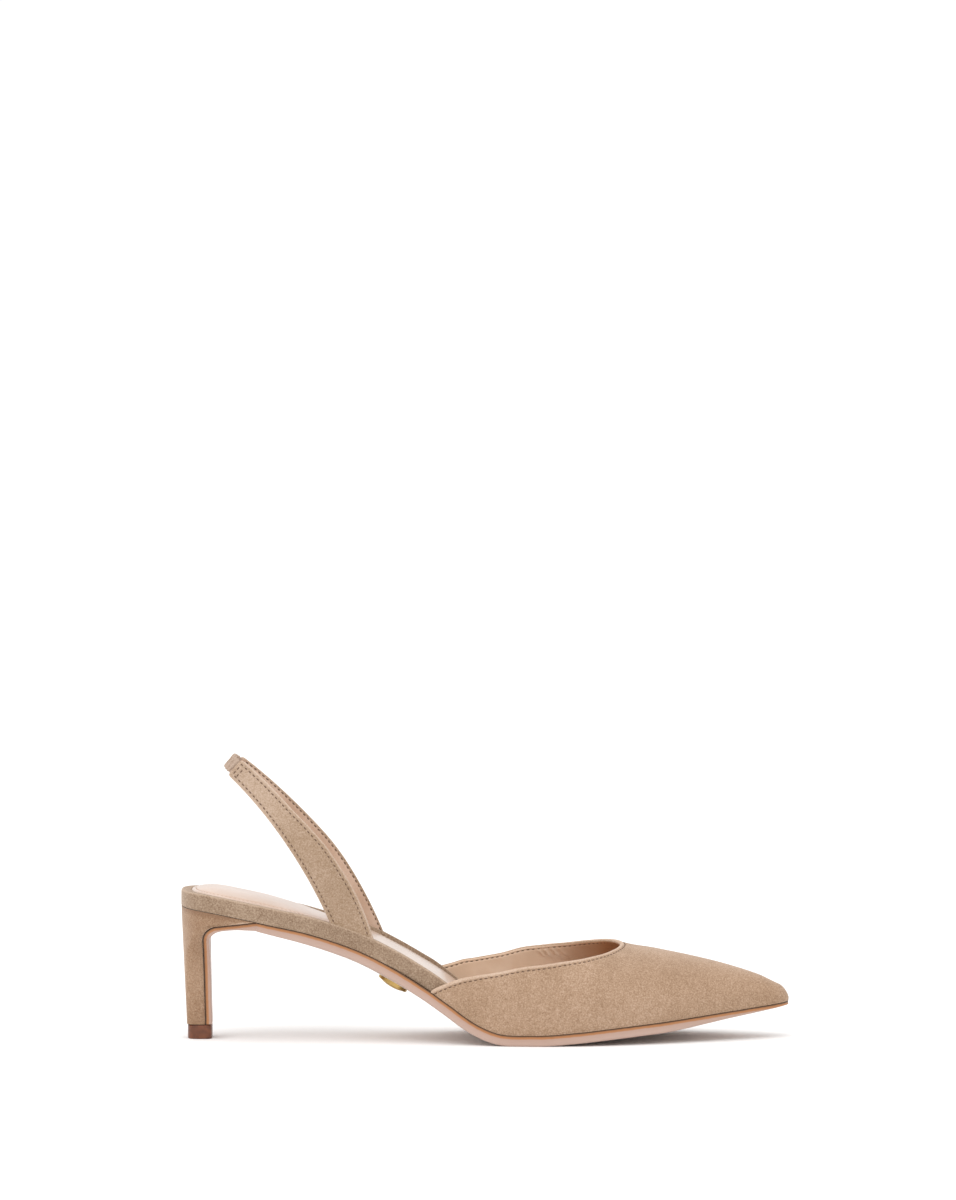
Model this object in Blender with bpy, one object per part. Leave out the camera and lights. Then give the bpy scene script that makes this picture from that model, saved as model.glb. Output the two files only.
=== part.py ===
"""Slingback pump for the right foot, as the pieces that a shoemaker puts together.

The frame: +X runs from the heel to the toe, +Y to the inner side of the foot, +Z up. The origin
is on the floor, in the middle of the shoe's length and width. Units are metres.

The last, which is the form that the shoe is made over, is a set of functions of two shares:
along (0 at the back of the heel seat, 1 at the tip of the toe) and girth (0 at the outer feather
line, 0.5 on the ridge of the last, 1 at the inner feather line). Every piece is worked out from it.
"""

from collections import namedtuple

import bmesh
import bpy
import numpy as np

# Sizes of the last
SHOE_LENGTH = 0.2505
BALL_WIDTH = 0.0755
SEAT_WIDTH = 0.0515
HEEL_HEIGHT = 0.0550  # from the floor to the underside of the heel seat, at its back
TOE_RISE = 0.0104  # feather line at the tip of the toe, over the feather line at the ball
THROAT_HEIGHT = 0.0315  # from the feather line up to the throat of the vamp
TOE_SWING = 0.0030  # how far the tip of the toe lies to the inner side
RIDGE_SHIFT = 0.0030  # how far the ridge of the instep lies to the inner side
SEAT_ROUND = 0.0230  # length of the rounding at the back of the seat
TOE_ROUND = 0.0070  # length of the rounding at the tip, seen from above
TIP_ROUND = 0.0045  # length of the rounding at the tip, seen from the side

# Sizes of the pieces
CLEARANCE = 0.0003
UPPER_WALL = 0.0017
SOLE_THICKNESS = 0.0042
SOLE_CROWN = 0.0018  # how far the middle of the waist bulges below its edges
SOLE_INSET = 0.0004
FLAP_THICKNESS = 0.0024  # of the sole leather, where it covers the front of the heel
RIM_THICKNESS = 0.0069
BOARD_THICKNESS = 0.0030  # of the covered board, inside the vamp
RIM_LIP = 0.0042  # width of the suede band round the insole
TRAY_DEPTH = 0.0012
INSOLE_EDGE = 0.0010
INSOLE_CROWN = 0.0010
HEEL_DEPTH = 0.0094  # front of the heel's column, from the back of the seat
HEEL_RAKE = 0.0025  # how far the back of the heel leans in by the floor
HEEL_FOOT_REACH = 0.0009  # how far the column's front steps forward again by the floor
HEEL_FRONT_ROUND = 0.0070
HEEL_LIP_BLUNT = 0.0016
BREAST_RADIUS = 0.0062
TIP_HEIGHT = 0.0057
TIP_STEP = 0.0004
STRAP_THICKNESS = 0.0026
STRAP_FOOT_WIDTH = 0.0134
STRAP_TOP_WIDTH = 0.0083
STRAP_INSET = 0.0021  # from the rim's edge to the middle of the strap
STRAP_SEAT = 0.0030  # depth of the slot that holds the strap's foot
STRAP_RISE = 0.0592  # of the strap's line at the back of the foot, over the heel seat
LOOP_HALF_WIDTH = 0.0095
LOOP_DEPTH = 0.0078
LOOP_TAPER = 0.0640  # length over which the two legs draw together
STRAP_END = 0.0029  # from the back of the loop to the end of each leg
ELASTIC_WIDTH = 0.0065
ELASTIC_THICKNESS = 0.0011
ELASTIC_TUCK = 0.0040
STUD_RADIUS = 0.0066
STUD_HEIGHT = 0.0028

# Places, as shares of the length
SEAT_FRONT = 0.126
STRAP_BACK_ALONG = 0.081
STUD_ALONG = 0.350
UPPER_FRONT = 0.9985
WIDENS_FROM = 0.15  # the last grows from the seat's width to the ball's
WIDENS_TO = 0.55
SWINGS_FROM = 0.55  # the toe swings to the inner side
RIDGE_CENTRED_FROM = 0.80  # the ridge comes back to the middle of the toe
TUCK_FROM = 0.31  # the rim draws in to pass inside the vamp
TUCK_TO = 0.385
THINS_FROM = 0.43  # the rim thins to the covered board
THINS_TO = 0.54
SOFTENS_FROM = 0.35  # the insole's padding thins
SOFTENS_TO = 0.55
FLAT_SPOT = (0.548, 0.582)  # the sole lies flat on the floor

# Forms that have no length of their own
SEAT_POWER = 2.3
SECTION_POWER = 2.3
LOOP_POWER = 3.0
HEEL_FRONT_POWER = 7.0
TIP_BACK_POWER = 4.0
TIP_FRONT_POWER = 5.0
HEEL_MIDDLE = 0.6
SEAT_UNDERSIDE_SLOPE = 0.12
SIDE_BULGE = 0.055
BULGE_PEAK = 2.6  # brings the largest value of sin(a) * cos(a) ** 2 to one
FORE_PADDING = 0.5  # of the padding is left under the ball
STUD_DOME = 0.93
BELOW_FOOT = -0.4  # the strap's line is also worked out below its foot

# Grid sizes
UPPER_ROWS = 33
UPPER_COLUMNS = 25
UPPER_CROWDING = 1.7
BOARD_STATIONS = 38
SOLE_STATIONS = 42
SOLE_CROWDING = 0.75
ARC_STEPS = 7
DOWN_STEPS = 6
HEEL_POINTS = 28
HEEL_RINGS = 18
STRAP_STEPS = 22
STRAP_CROWDING = 1.8
LOOP_STEPS = 12
STUD_POINTS = 24
STUD_RINGS = 5
INSOLE_POINTS = 7
FINE = 400

# Half widths from the centre line, as shares of the local width of the last
Outline = namedtuple("Outline", "along outer inner")
OUTLINE = [
    Outline(0.00, 0.980, 0.980),
    Outline(0.16, 0.980, 0.945),
    Outline(0.24, 0.905, 0.790),
    Outline(0.30, 0.840, 0.680),
    Outline(0.36, 0.835, 0.645),
    Outline(0.42, 0.867, 0.680),
    Outline(0.48, 0.918, 0.760),
    Outline(0.54, 0.972, 0.860),
    Outline(0.60, 1.000, 0.945),
    Outline(0.66, 0.985, 0.960),
    Outline(0.72, 0.905, 0.890),
    Outline(0.80, 0.728, 0.718),
    Outline(0.87, 0.535, 0.530),
    Outline(0.94, 0.322, 0.322),
    Outline(1.00, 0.145, 0.145),
]

# Underside of the seat and waist, and of the toe, as shares of their rise over the ball
Profile = namedtuple("Profile", "along seat toe")
PROFILE = [
    Profile(0.00, 1.000, 0.0),
    Profile(0.05, 0.972, 0.0),
    Profile(0.10, 0.924, 0.0),
    Profile(0.15, 0.870, 0.0),
    Profile(0.20, 0.816, 0.0),
    Profile(0.25, 0.742, 0.0),
    Profile(0.30, 0.648, 0.0),
    Profile(0.35, 0.522, 0.0),
    Profile(0.40, 0.372, 0.0),
    Profile(0.44, 0.236, 0.0),
    Profile(0.48, 0.098, 0.0),
    Profile(0.515, 0.020, 0.0),
    Profile(0.545, 0.0, 0.0),
    Profile(0.585, 0.0, 0.0),
    Profile(0.64, 0.0, 0.085),
    Profile(0.72, 0.0, 0.270),
    Profile(0.80, 0.0, 0.450),
    Profile(0.88, 0.0, 0.670),
    Profile(0.94, 0.0, 0.830),
    Profile(1.00, 0.0, 1.000),
]

# Height of the last's ridge over the feather line, as a share of the throat's height
Ridge = namedtuple("Ridge", "along height")
RIDGE = [
    Ridge(0.38, 1.42),
    Ridge(0.47, 1.70),
    Ridge(0.54, 1.68),
    Ridge(0.60, 1.52),
    Ridge(0.66, 1.275),
    Ridge(0.725, 1.0),
    Ridge(0.78, 0.879),
    Ridge(0.84, 0.730),
    Ridge(0.90, 0.560),
    Ridge(0.95, 0.390),
    Ridge(0.98, 0.250),
    Ridge(1.00, 0.175),
]

# The vamp's top line, from its outer corner over the throat to its inner corner
TopLine = namedtuple("TopLine", "girth along")
TOP_LINE = [
    TopLine(0.000, 0.408),
    TopLine(0.045, 0.443),
    TopLine(0.106, 0.487),
    TopLine(0.143, 0.529),
    TopLine(0.168, 0.571),
    TopLine(0.194, 0.613),
    TopLine(0.230, 0.656),
    TopLine(0.280, 0.691),
    TopLine(0.342, 0.714),
    TopLine(0.410, 0.7245),
    TopLine(0.480, 0.7265),
    TopLine(0.550, 0.7200),
    TopLine(0.634, 0.6985),
    TopLine(0.700, 0.673),
    TopLine(0.761, 0.634),
    TopLine(0.799, 0.592),
    TopLine(0.830, 0.550),
    TopLine(0.862, 0.508),
    TopLine(0.910, 0.466),
    TopLine(0.939, 0.446),
    TopLine(0.962, 0.4255),
    TopLine(1.000, 0.390),
]

# The heel: half width as a share of the seat's, and how square its back corners are
HeelSection = namedtuple("HeelSection", "height half square")
HEEL = [
    HeelSection(0.110, 0.285, 4.0),
    HeelSection(0.300, 0.305, 4.0),
    HeelSection(0.480, 0.350, 3.6),
    HeelSection(0.600, 0.415, 3.3),
    HeelSection(0.680, 0.500, 3.0),
    HeelSection(0.750, 0.630, 2.7),
    HeelSection(0.800, 0.755, 2.5),
    HeelSection(0.840, 0.860, 2.4),
    HeelSection(0.870, 0.925, 2.35),
    HeelSection(0.900, 0.965, 2.3),
    HeelSection(1.100, 0.978, 2.3),
]

# Thickness of the sole leather, as a share of its full thickness
Leather = namedtuple("Leather", "along share crown")
LEATHER = [
    Leather(0.126, 0.80, 0.2),
    Leather(0.22, 1.00, 0.8),
    Leather(0.35, 1.00, 1.0),
    Leather(0.44, 1.00, 0.5),
    Leather(0.50, 1.00, 0.0),
    Leather(0.78, 1.00, 0.0),
    Leather(0.86, 0.75, 0.0),
    Leather(0.90, 0.58, 0.0),
    Leather(0.96, 0.38, 0.0),
    Leather(1.00, 0.24, 0.0),
]

# Thickness of the flap, from the heel's column (0) to the front of the seat (1)
Flap = namedtuple("Flap", "reach share")
FLAP = [
    Flap(0.00, 1.00),
    Flap(0.08, 1.32),
    Flap(0.20, 1.00),
    Flap(0.36, 0.64),
    Flap(0.60, 0.75),
    Flap(0.80, 1.08),
    Flap(1.00, 1.40),
]

# The two legs of the slingback: -1 is the outer side, and the foot is a share of the length
Leg = namedtuple("Leg", "name side foot bow")
LEGS = [
    Leg("strap_lateral", -1, 0.279, 0.0047),
    Leg("strap_medial", 1, 0.297, 0.0060),
]

# Side walls from the bottom corner to the top one, as shares of the thickness
Edge = namedtuple("Edge", "inset up")
RIM_EDGE = [
    Edge(0.10, 0.00),
    Edge(0.015, 0.14),
    Edge(0.00, 0.45),
    Edge(0.03, 0.76),
    Edge(0.10, 0.93),
    Edge(0.21, 1.00),
]
SOLE_EDGE = [
    Edge(0.05, 0.0),
    Edge(0.00, 0.22),
    Edge(0.03, 0.72),
    Edge(0.16, 1.0),
]

# Places across the sole's lower face that carry its crown
ACROSS_SOLE = np.array([0.2, 0.5, 0.8])

# Section of a strap or elastic: places across its width, and how much of its thickness each has
ACROSS_BAND = np.array([-0.5, -0.42, 0.0, 0.42, 0.5])
EASED_BAND = np.array([0.5, 1.0, 1.0, 1.0, 0.5])


def column(table, name):
    """One named column of a table of rows."""
    return np.array([getattr(row, name) for row in table])


def through(xs, ys, x):
    """A smooth curve through the points (xs, ys) that turns back only where the points do.

    Each point's slope is the mean of its neighbours' slopes, held to three times the smaller,
    and zero where they point opposite ways.
    """
    xs = np.asarray(xs, float)
    ys = np.asarray(ys, float)
    step = np.diff(xs)
    rate = np.diff(ys) / step
    mean = (ys[2:] - ys[:-2]) / (xs[2:] - xs[:-2])
    limit = 3 * np.minimum(np.abs(rate[1:]), np.abs(rate[:-1]))
    inner = np.where(rate[1:] * rate[:-1] > 0, np.sign(mean) * np.minimum(np.abs(mean), limit), 0)
    slope = np.concatenate([rate[:1], inner, rate[-1:]])
    x = np.clip(x, xs[0], xs[-1])
    i = np.clip(np.searchsorted(xs, x) - 1, 0, len(xs) - 2)
    t = (x - xs[i]) / step[i]
    rising = t * t * (3 - 2 * t)
    bend = t * (1 - t) * step[i]
    return ys[i] * (1 - rising) + ys[i + 1] * rising + bend * ((1 - t) * slope[i] - t * slope[i + 1])


def from_table(table, name, along):
    """A table's column as a smooth function of its column along."""
    return through(column(table, "along"), column(table, name), along)


def ease(t):
    """Zero up to 0, one from 1, and smooth between."""
    t = np.clip(t, 0, 1)
    return t * t * (3 - 2 * t)


def rounded(distance, length, power):
    """Share of the full size at a distance from a rounded end: a superellipse."""
    back = 1 - np.clip(distance / length, 0, 1)
    return (1 - back**power) ** (1 / power)


def centre_line(along):
    """How far the middle of the last swings to the inner side."""
    return TOE_SWING * ease((along - SWINGS_FROM) / (1 - SWINGS_FROM))


def half_width(along, side):
    """Half width of the feather line on one side: -1 is the outer side, 1 the inner."""
    widened = ease((along - WIDENS_FROM) / (WIDENS_TO - WIDENS_FROM))
    local = (SEAT_WIDTH + (BALL_WIDTH - SEAT_WIDTH) * widened) / 2
    outer = from_table(OUTLINE, "outer", along)
    inner = from_table(OUTLINE, "inner", along)
    heel_end = rounded(along * SHOE_LENGTH, SEAT_ROUND, SEAT_POWER)
    toe_end = rounded((1 - along) * SHOE_LENGTH, TOE_ROUND, 2.0)
    return np.where(np.asarray(side) < 0, outer, inner) * local * heel_end * toe_end


def feather_height(along):
    """Height of the feather line: the underside of the seat, the waist and the vamp."""
    ball = SOLE_THICKNESS + CLEARANCE
    seat = from_table(PROFILE, "seat", along) * (HEEL_HEIGHT - ball)
    return ball + seat + from_table(PROFILE, "toe", along) * TOE_RISE


def slant(along):
    """Length of the feather line's profile for each unit along X."""
    small = 1e-3
    rise = feather_height(along + small) - feather_height(along - small)
    return np.hypot(1, rise / (2 * small * SHOE_LENGTH))


def ridge_height(along):
    """Height of the last's ridge over the feather line."""
    tip = rounded((1 - along) * SHOE_LENGTH, TIP_ROUND, 2.0)
    return from_table(RIDGE, "height", along) * THROAT_HEIGHT * tip


def last_surface(along, girth):
    """Points of the vamp's outer face: a superellipse over the feather line, with a fuller side."""
    turn = np.pi * girth
    up = np.sin(turn)
    across = -np.cos(turn)
    fuller = 1 + SIDE_BULGE * BULGE_PEAK * up * across**2
    reach = np.sign(across) * np.abs(across) ** (2 / SECTION_POWER)
    y = centre_line(along) + reach * half_width(along, across) * fuller
    y = y + RIDGE_SHIFT * up**2 * ease((1 - along) / (1 - RIDGE_CENTRED_FROM))
    z = feather_height(along) + ridge_height(along) * up ** (2 / SECTION_POWER)
    return np.stack([along * SHOE_LENGTH, y, z], axis=-1)


def inset_edge(x, side, inset):
    """The feather line's Y at x, once it is drawn in square to itself by an inset."""
    along = 0.5 - 0.5 * np.cos(np.pi * np.linspace(0, 1, FINE))
    px = along * SHOE_LENGTH
    py = centre_line(along) + side * half_width(along, side)
    dx = np.gradient(px)
    dy = np.gradient(py)
    size = np.hypot(dx, dy)
    depth = inset(along) if callable(inset) else inset
    qx = px + side * depth * dy / size
    qy = py - side * depth * dx / size
    return np.interp(x, qx, qy)


def stations(start, end, count):
    """Places along X, closest together at both ends, where the outline turns most."""
    share = (np.arange(count) + 0.35) / (count - 0.3)
    return start + (end - start) * (0.5 - 0.5 * np.cos(np.pi * share))


def linear(code):
    """Linear red, green and blue of an sRGB colour code."""
    share = np.array([int(code[i : i + 2], 16) for i in (0, 2, 4)]) / 255
    return np.where(share <= 0.04045, share / 12.92, ((share + 0.055) / 1.055) ** 2.4)


def material(name, code, roughness, metallic=0.0):
    """A plain finish of one colour."""
    made = bpy.data.materials.new(name)
    made.use_nodes = True
    shader = made.node_tree.nodes["Principled BSDF"]
    shader.inputs["Base Color"].default_value = (*linear(code), 1.0)
    shader.inputs["Roughness"].default_value = roughness
    shader.inputs["Metallic"].default_value = metallic
    return made


def solid(name, points, faces, finish, shoe):
    """A closed object with outward faces, carried by the shoe's empty."""
    mesh = bpy.data.meshes.new(name)
    mesh.from_pydata([tuple(map(float, p)) for p in points], [], faces)
    work = bmesh.new()
    work.from_mesh(mesh)
    bmesh.ops.remove_doubles(work, verts=work.verts, dist=1e-7)
    bmesh.ops.recalc_face_normals(work, faces=work.faces)
    work.to_mesh(mesh)
    work.free()
    mesh.shade_smooth()
    mesh.set_sharp_from_angle(angle=np.radians(40))
    made = bpy.data.objects.new(name, mesh)
    made.data.materials.append(finish)
    made.parent = shoe
    bpy.context.scene.collection.objects.link(made)
    return made


def loft(name, rings, finish, shoe):
    """A closed solid through rings of equal point count, with a flat cap at each end."""
    count = len(rings[0])
    points = np.concatenate(rings)
    faces = []
    for r in range(len(rings) - 1):
        for i in range(count):
            j = (i + 1) % count
            faces.append((r * count + i, r * count + j, (r + 1) * count + j, (r + 1) * count + i))
    faces.append(tuple(range(count)))
    faces.append(tuple((len(rings) - 1) * count + i for i in reversed(range(count))))
    return solid(name, points, faces, finish, shoe)


def cut(piece, cutter):
    """Takes the cutter's space out of the piece."""
    cutter.hide_render = True
    cutter.display_type = "WIRE"
    boolean = piece.modifiers.new("cut " + cutter.name, "BOOLEAN")
    boolean.operation = "DIFFERENCE"
    boolean.solver = "EXACT"
    boolean.object = cutter


def bottom_thickness(along):
    """Thickness of the covered board square to its face: full in the rim, thin in the vamp."""
    inside = ease((along - THINS_FROM) / (THINS_TO - THINS_FROM))
    return RIM_THICKNESS + (BOARD_THICKNESS - RIM_THICKNESS) * inside


def board_top(along):
    """Height of the covered board's upper face."""
    return feather_height(along) + bottom_thickness(along) * slant(along)


def board_inset(along):
    """The rim is flush with the sole, and draws in to pass inside the vamp's wall."""
    tucked = UPPER_WALL + CLEARANCE
    return tucked * ease((along - TUCK_FROM) / (TUCK_TO - TUCK_FROM))


def rim_ring(x):
    """Section of the covered board at x, from its outer edge over the top to its inner edge."""
    along = x / SHOE_LENGTH
    low = feather_height(along)
    thick = board_top(along) - low
    outer = inset_edge(x, -1, board_inset)
    inner = inset_edge(x, 1, board_inset)
    room = min(1.0, (inner - outer) / (4 * RIM_LIP))
    inset = column(RIM_EDGE, "inset") * bottom_thickness(along) * room
    up = low + column(RIM_EDGE, "up") * thick
    left = np.stack([np.full_like(up, x), outer + inset, up], axis=-1)
    right = np.stack([np.full_like(up, x), inner - inset, up], axis=-1)
    return np.concatenate([left, right[::-1]])


def insole_ring(x, grow):
    """Section of the padded insole at x. grow is the clearance that its tray leaves round it."""
    along = x / SHOE_LENGTH
    low = board_top(along) - TRAY_DEPTH * slant(along) + CLEARANCE - grow
    inset = RIM_LIP - grow
    outer = inset_edge(x, -1, inset)
    inner = inset_edge(x, 1, inset)
    share = np.linspace(0, 1, INSOLE_POINTS)
    y = outer + (inner - outer) * share
    if grow:
        top = low + np.full_like(y, RIM_THICKNESS)
    else:
        thinned = ease((along - SOFTENS_FROM) / (SOFTENS_TO - SOFTENS_FROM)) * (1 - FORE_PADDING)
        narrow = min(1.0, 2 * (inner - outer) / SEAT_WIDTH)
        padding = INSOLE_CROWN * (1 - thinned) * narrow
        top = low + (INSOLE_EDGE + padding * (1 - (2 * share - 1) ** 4)) * slant(along)
    upper = np.stack([np.full_like(y, x), y, top], axis=-1)
    lower = np.array([[x, inner, low], [x, outer, low]])
    return np.concatenate([upper, lower])


def insole_rings(grow):
    """Sections of the padded insole, or of its tray."""
    inset = RIM_LIP - grow
    end = SHOE_LENGTH - TIP_ROUND - inset / 2
    return [insole_ring(x, grow) for x in stations(inset, end, BOARD_STATIONS)]


def fillet(corner, before, after, radius, steps):
    """Points of the arc that rounds a corner between two straight lines."""
    back = (before - corner) / np.linalg.norm(before - corner)
    on = (after - corner) / np.linalg.norm(after - corner)
    half = np.arccos(np.clip(back @ on, -1, 1)) / 2
    bisector = (back + on) / np.linalg.norm(back + on)
    centre = corner + bisector * radius / np.sin(half)
    start = corner + back * radius / np.tan(half) - centre
    end = corner + on * radius / np.tan(half) - centre
    turn = np.arccos(np.clip(start @ end / radius**2, -1, 1))
    share = np.linspace(0, 1, steps)[:, None]
    return centre + (np.sin((1 - share) * turn) * start + np.sin(share * turn) * end) / np.sin(turn)


def sole_line():
    """Upper face of the sole leather in side view, from the toe, under the waist, down the breast."""
    toe = SHOE_LENGTH - SOLE_INSET
    seat_front = SEAT_FRONT * SHOE_LENGTH
    share = (np.arange(SOLE_STATIONS) + 0.35) / SOLE_STATIONS
    x = toe - (toe - seat_front) * (1 - np.cos(np.pi / 2 * share)) ** SOLE_CROWDING
    x = np.sort(np.append(x, np.array(FLAT_SPOT) * SHOE_LENGTH))[::-1]
    front = np.stack([x, feather_height(x / SHOE_LENGTH) - CLEARANCE], axis=-1)
    lip = np.array([seat_front, feather_height(SEAT_FRONT) - CLEARANCE])
    corner = np.array([HEEL_DEPTH, lip[1] - SEAT_UNDERSIDE_SLOPE * (seat_front - HEEL_DEPTH)])
    foot = np.array([HEEL_DEPTH + HEEL_FOOT_REACH, TIP_HEIGHT + CLEARANCE])
    arc = fillet(corner, lip, foot, BREAST_RADIUS, ARC_STEPS)
    under_lip = np.linspace(lip, arc[0], 3, endpoint=False)
    down = np.linspace(arc[-1], foot, DOWN_STEPS)[1:]
    return np.concatenate([front[front[:, 0] > seat_front + SOLE_INSET], under_lip, arc, down])


def sole_normals(line):
    """Unit vectors out of the sole leather's lower face, square to its line."""
    run = np.gradient(line, axis=0)
    run = run / np.linalg.norm(run, axis=1, keepdims=True)
    return np.stack([-run[:, 1], run[:, 0]], axis=-1)


def heel_half(height):
    """Half width of the heel at a height over the floor."""
    share = through(column(HEEL, "height"), column(HEEL, "half"), height / HEEL_HEIGHT)
    return share * SEAT_WIDTH / 2


def sole_rings():
    """Sections of the sole leather, square to its line."""
    line = sole_line()
    normals = sole_normals(line)
    seat_front = SEAT_FRONT * SHOE_LENGTH
    rings = []
    for (x, z), (nx, nz) in zip(line, normals):
        along = x / SHOE_LENGTH
        outer = inset_edge(x, -1, SOLE_INSET)
        inner = inset_edge(x, 1, SOLE_INSET)
        thick = SOLE_THICKNESS * from_table(LEATHER, "share", along)
        crown = SOLE_CROWN * from_table(LEATHER, "crown", along)
        if x <= seat_front:
            waist = heel_half(z) - SOLE_INSET
            outer = max(outer, -waist)
            inner = min(inner, waist)
            reach = np.clip((x - HEEL_DEPTH) / (seat_front - HEEL_DEPTH), 0, 1)
            thick = FLAP_THICKNESS * through(column(FLAP, "reach"), column(FLAP, "share"), reach)
            crown = crown * reach
        room = min(1.0, (inner - outer) / (2 * SOLE_THICKNESS))
        inset = column(SOLE_EDGE, "inset") * thick * room
        depth = column(SOLE_EDGE, "up") * thick
        middle = outer + (inner - outer) * ACROSS_SOLE
        y = np.concatenate([outer + inset, middle, (inner - inset)[::-1]])
        bulge = crown * 4 * ACROSS_SOLE * (1 - ACROSS_SOLE)
        d = np.concatenate([depth, thick + bulge, depth[::-1]])
        rings.append(np.stack([x + nx * d, y, z + nz * d], axis=-1))
    return rings


def level_ring(height, back, front, half, back_square, front_square):
    """A level section: a superellipse that has its own squareness before and behind its middle."""
    middle = max(front - HEEL_FRONT_ROUND, back + (front - back) * HEEL_MIDDLE)
    turn = 2 * np.pi * (np.arange(HEEL_POINTS) + 0.5) / HEEL_POINTS
    c = np.cos(turn)
    s = np.sin(turn)
    power = np.where(c > 0, 2 / front_square, 2 / back_square)
    reach = np.where(c > 0, front - middle, middle - back)
    x = middle + np.sign(c) * np.abs(c) ** power * reach
    y = np.sign(s) * np.abs(s) ** power * half
    return np.stack([x, y, np.full_like(x, height)], axis=-1)


def heel_back(height):
    """X of the heel's back line at a height."""
    return HEEL_RAKE * (1 - height / HEEL_HEIGHT)


def heel_front():
    """The heel's breast and the underside of its lip: the sole's line, moved clear of the leather."""
    line = sole_line()
    clear = line - sole_normals(line) * CLEARANCE
    rear = clear[line[:, 0] <= SEAT_FRONT * SHOE_LENGTH]
    return rear[np.argsort(rear[:, 1])]


def under_seat(ring, back):
    """A level section of the heel, held inside the seat's outline as it lies from the heel's back."""
    x, y, height = ring.T
    limit = half_width((x - back) / SHOE_LENGTH, y)
    return np.stack([x, np.sign(y) * np.minimum(np.abs(y), limit), height], axis=-1)


def heel_rings():
    """Level sections of the heel, from the top piece to above the seat."""
    front = heel_front()
    lip_end = SEAT_FRONT * SHOE_LENGTH - HEEL_LIP_BLUNT
    low = TIP_HEIGHT + CLEARANCE
    top = feather_height(SEAT_FRONT)
    crowded = 1 - (1 - np.linspace(0, 1, HEEL_RINGS)) ** 2
    above_seat = HEEL_HEIGHT + SOLE_THICKNESS
    rings = []
    for height in [*(low + (top - low) * crowded), above_seat]:
        forward = np.interp(height, front[:, 1], front[:, 0])
        square = through(column(HEEL, "height"), column(HEEL, "square"), height / HEEL_HEIGHT)
        back = max(heel_back(height), 0.0)
        reach = min(forward, lip_end)
        ring = level_ring(height, back, reach, heel_half(height), square, HEEL_FRONT_POWER)
        rings.append(under_seat(ring, back))
    return rings


def seat_cutter_rings():
    """Everything above the underside of the seat, less the clearance."""
    reach = SEAT_FRONT * SHOE_LENGTH + SOLE_THICKNESS
    side = SEAT_WIDTH
    high = HEEL_HEIGHT + SEAT_WIDTH
    rings = []
    for x in np.linspace(-SOLE_THICKNESS, reach, ARC_STEPS * 2):
        low = feather_height(max(x, 0) / SHOE_LENGTH) - CLEARANCE
        rings.append(np.array([[x, -side, low], [x, side, low], [x, side, high], [x, -side, high]]))
    return rings


def tip_rings():
    """Level sections of the top piece that the heel stands on."""
    back = heel_back(TIP_HEIGHT) + TIP_STEP
    front = HEEL_DEPTH + HEEL_FOOT_REACH + FLAP_THICKNESS
    half = heel_half(TIP_HEIGHT + CLEARANCE)
    bevel = TIP_STEP
    return [
        level_ring(0.0, back + bevel, front - bevel, half - bevel, TIP_BACK_POWER, TIP_FRONT_POWER),
        level_ring(bevel, back, front, half, TIP_BACK_POWER, TIP_FRONT_POWER),
        level_ring(TIP_HEIGHT, back, front, half, TIP_BACK_POWER, TIP_FRONT_POWER),
    ]


def upper_grid():
    """Outer and inner faces of the vamp: rows of equal girth, from the top line to the toe."""
    fine = np.linspace(0, 1, FINE)
    edge = last_surface(through(column(TOP_LINE, "girth"), column(TOP_LINE, "along"), fine), fine)
    length = np.concatenate([[0], np.cumsum(np.linalg.norm(np.diff(edge, axis=0), axis=1))])
    girth = np.interp(np.linspace(0, 1, UPPER_ROWS), length / length[-1], fine)
    start = through(column(TOP_LINE, "girth"), column(TOP_LINE, "along"), girth)
    share = 1 - (1 - np.linspace(0, 1, UPPER_COLUMNS)) ** UPPER_CROWDING
    along = start[:, None] + (UPPER_FRONT - start[:, None]) * share
    rows = np.repeat(girth[:, None], UPPER_COLUMNS, axis=1)
    outer = last_surface(along, rows)
    small = 2e-4
    steady = np.clip(rows, small, 1 - small)
    forward = last_surface(along + small, steady) - last_surface(along - small, steady)
    round_ = last_surface(along, steady + small) - last_surface(along, steady - small)
    normal = np.cross(forward, round_)
    normal = normal / np.linalg.norm(normal, axis=2, keepdims=True)
    return outer, outer - UPPER_WALL * normal


def make_upper(finish, shoe):
    """The vamp: one wall between two faces, open at the top line and underneath."""
    outer, inner = upper_grid()
    rows, columns = outer.shape[:2]
    points = np.concatenate([outer.reshape(-1, 3), inner.reshape(-1, 3)])
    inside = rows * columns
    faces = []
    for r in range(rows - 1):
        for c in range(columns - 1):
            a = r * columns + c
            b = a + columns
            faces.append((a, b, b + 1, a + 1))
            faces.append((inside + a, inside + a + 1, inside + b + 1, inside + b))
        a = r * columns
        faces.append((a, inside + a, inside + a + columns, a + columns))
    for row in (0, rows - 1):
        for c in range(columns - 1):
            a = row * columns + c
            faces.append((a, a + 1, inside + a + 1, inside + a))
    tips = [r * columns + columns - 1 for r in range(rows)]
    faces.append(tuple(tips))
    faces.append(tuple(inside + i for i in reversed(tips)))
    faces.append((tips[0], tips[-1], inside + tips[-1], inside + tips[0]))
    return solid("upper", points, faces, finish, shoe)


def strap_side_view(t, leg):
    """A leg's line in side view, from its foot (0) to the back of the loop (1): a parabola."""
    foot = np.array([leg.foot * SHOE_LENGTH, board_top(leg.foot)])
    back = np.array([STRAP_BACK_ALONG * SHOE_LENGTH, HEEL_HEIGHT + STRAP_RISE])
    chord = back - foot
    forward = np.array([chord[1], -chord[0]]) / np.linalg.norm(chord)
    control = (foot + back) / 2 + 2 * leg.bow * forward
    t = np.asarray(t, float)[..., None]
    point = (1 - t) ** 2 * foot + 2 * t * (1 - t) * control + t**2 * back
    run = 2 * (1 - t) * (control - foot) + 2 * t * (back - control)
    run = run / np.linalg.norm(run, axis=-1, keepdims=True)
    across = np.stack([run[..., 1], -run[..., 0]], axis=-1)
    return point, across


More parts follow.
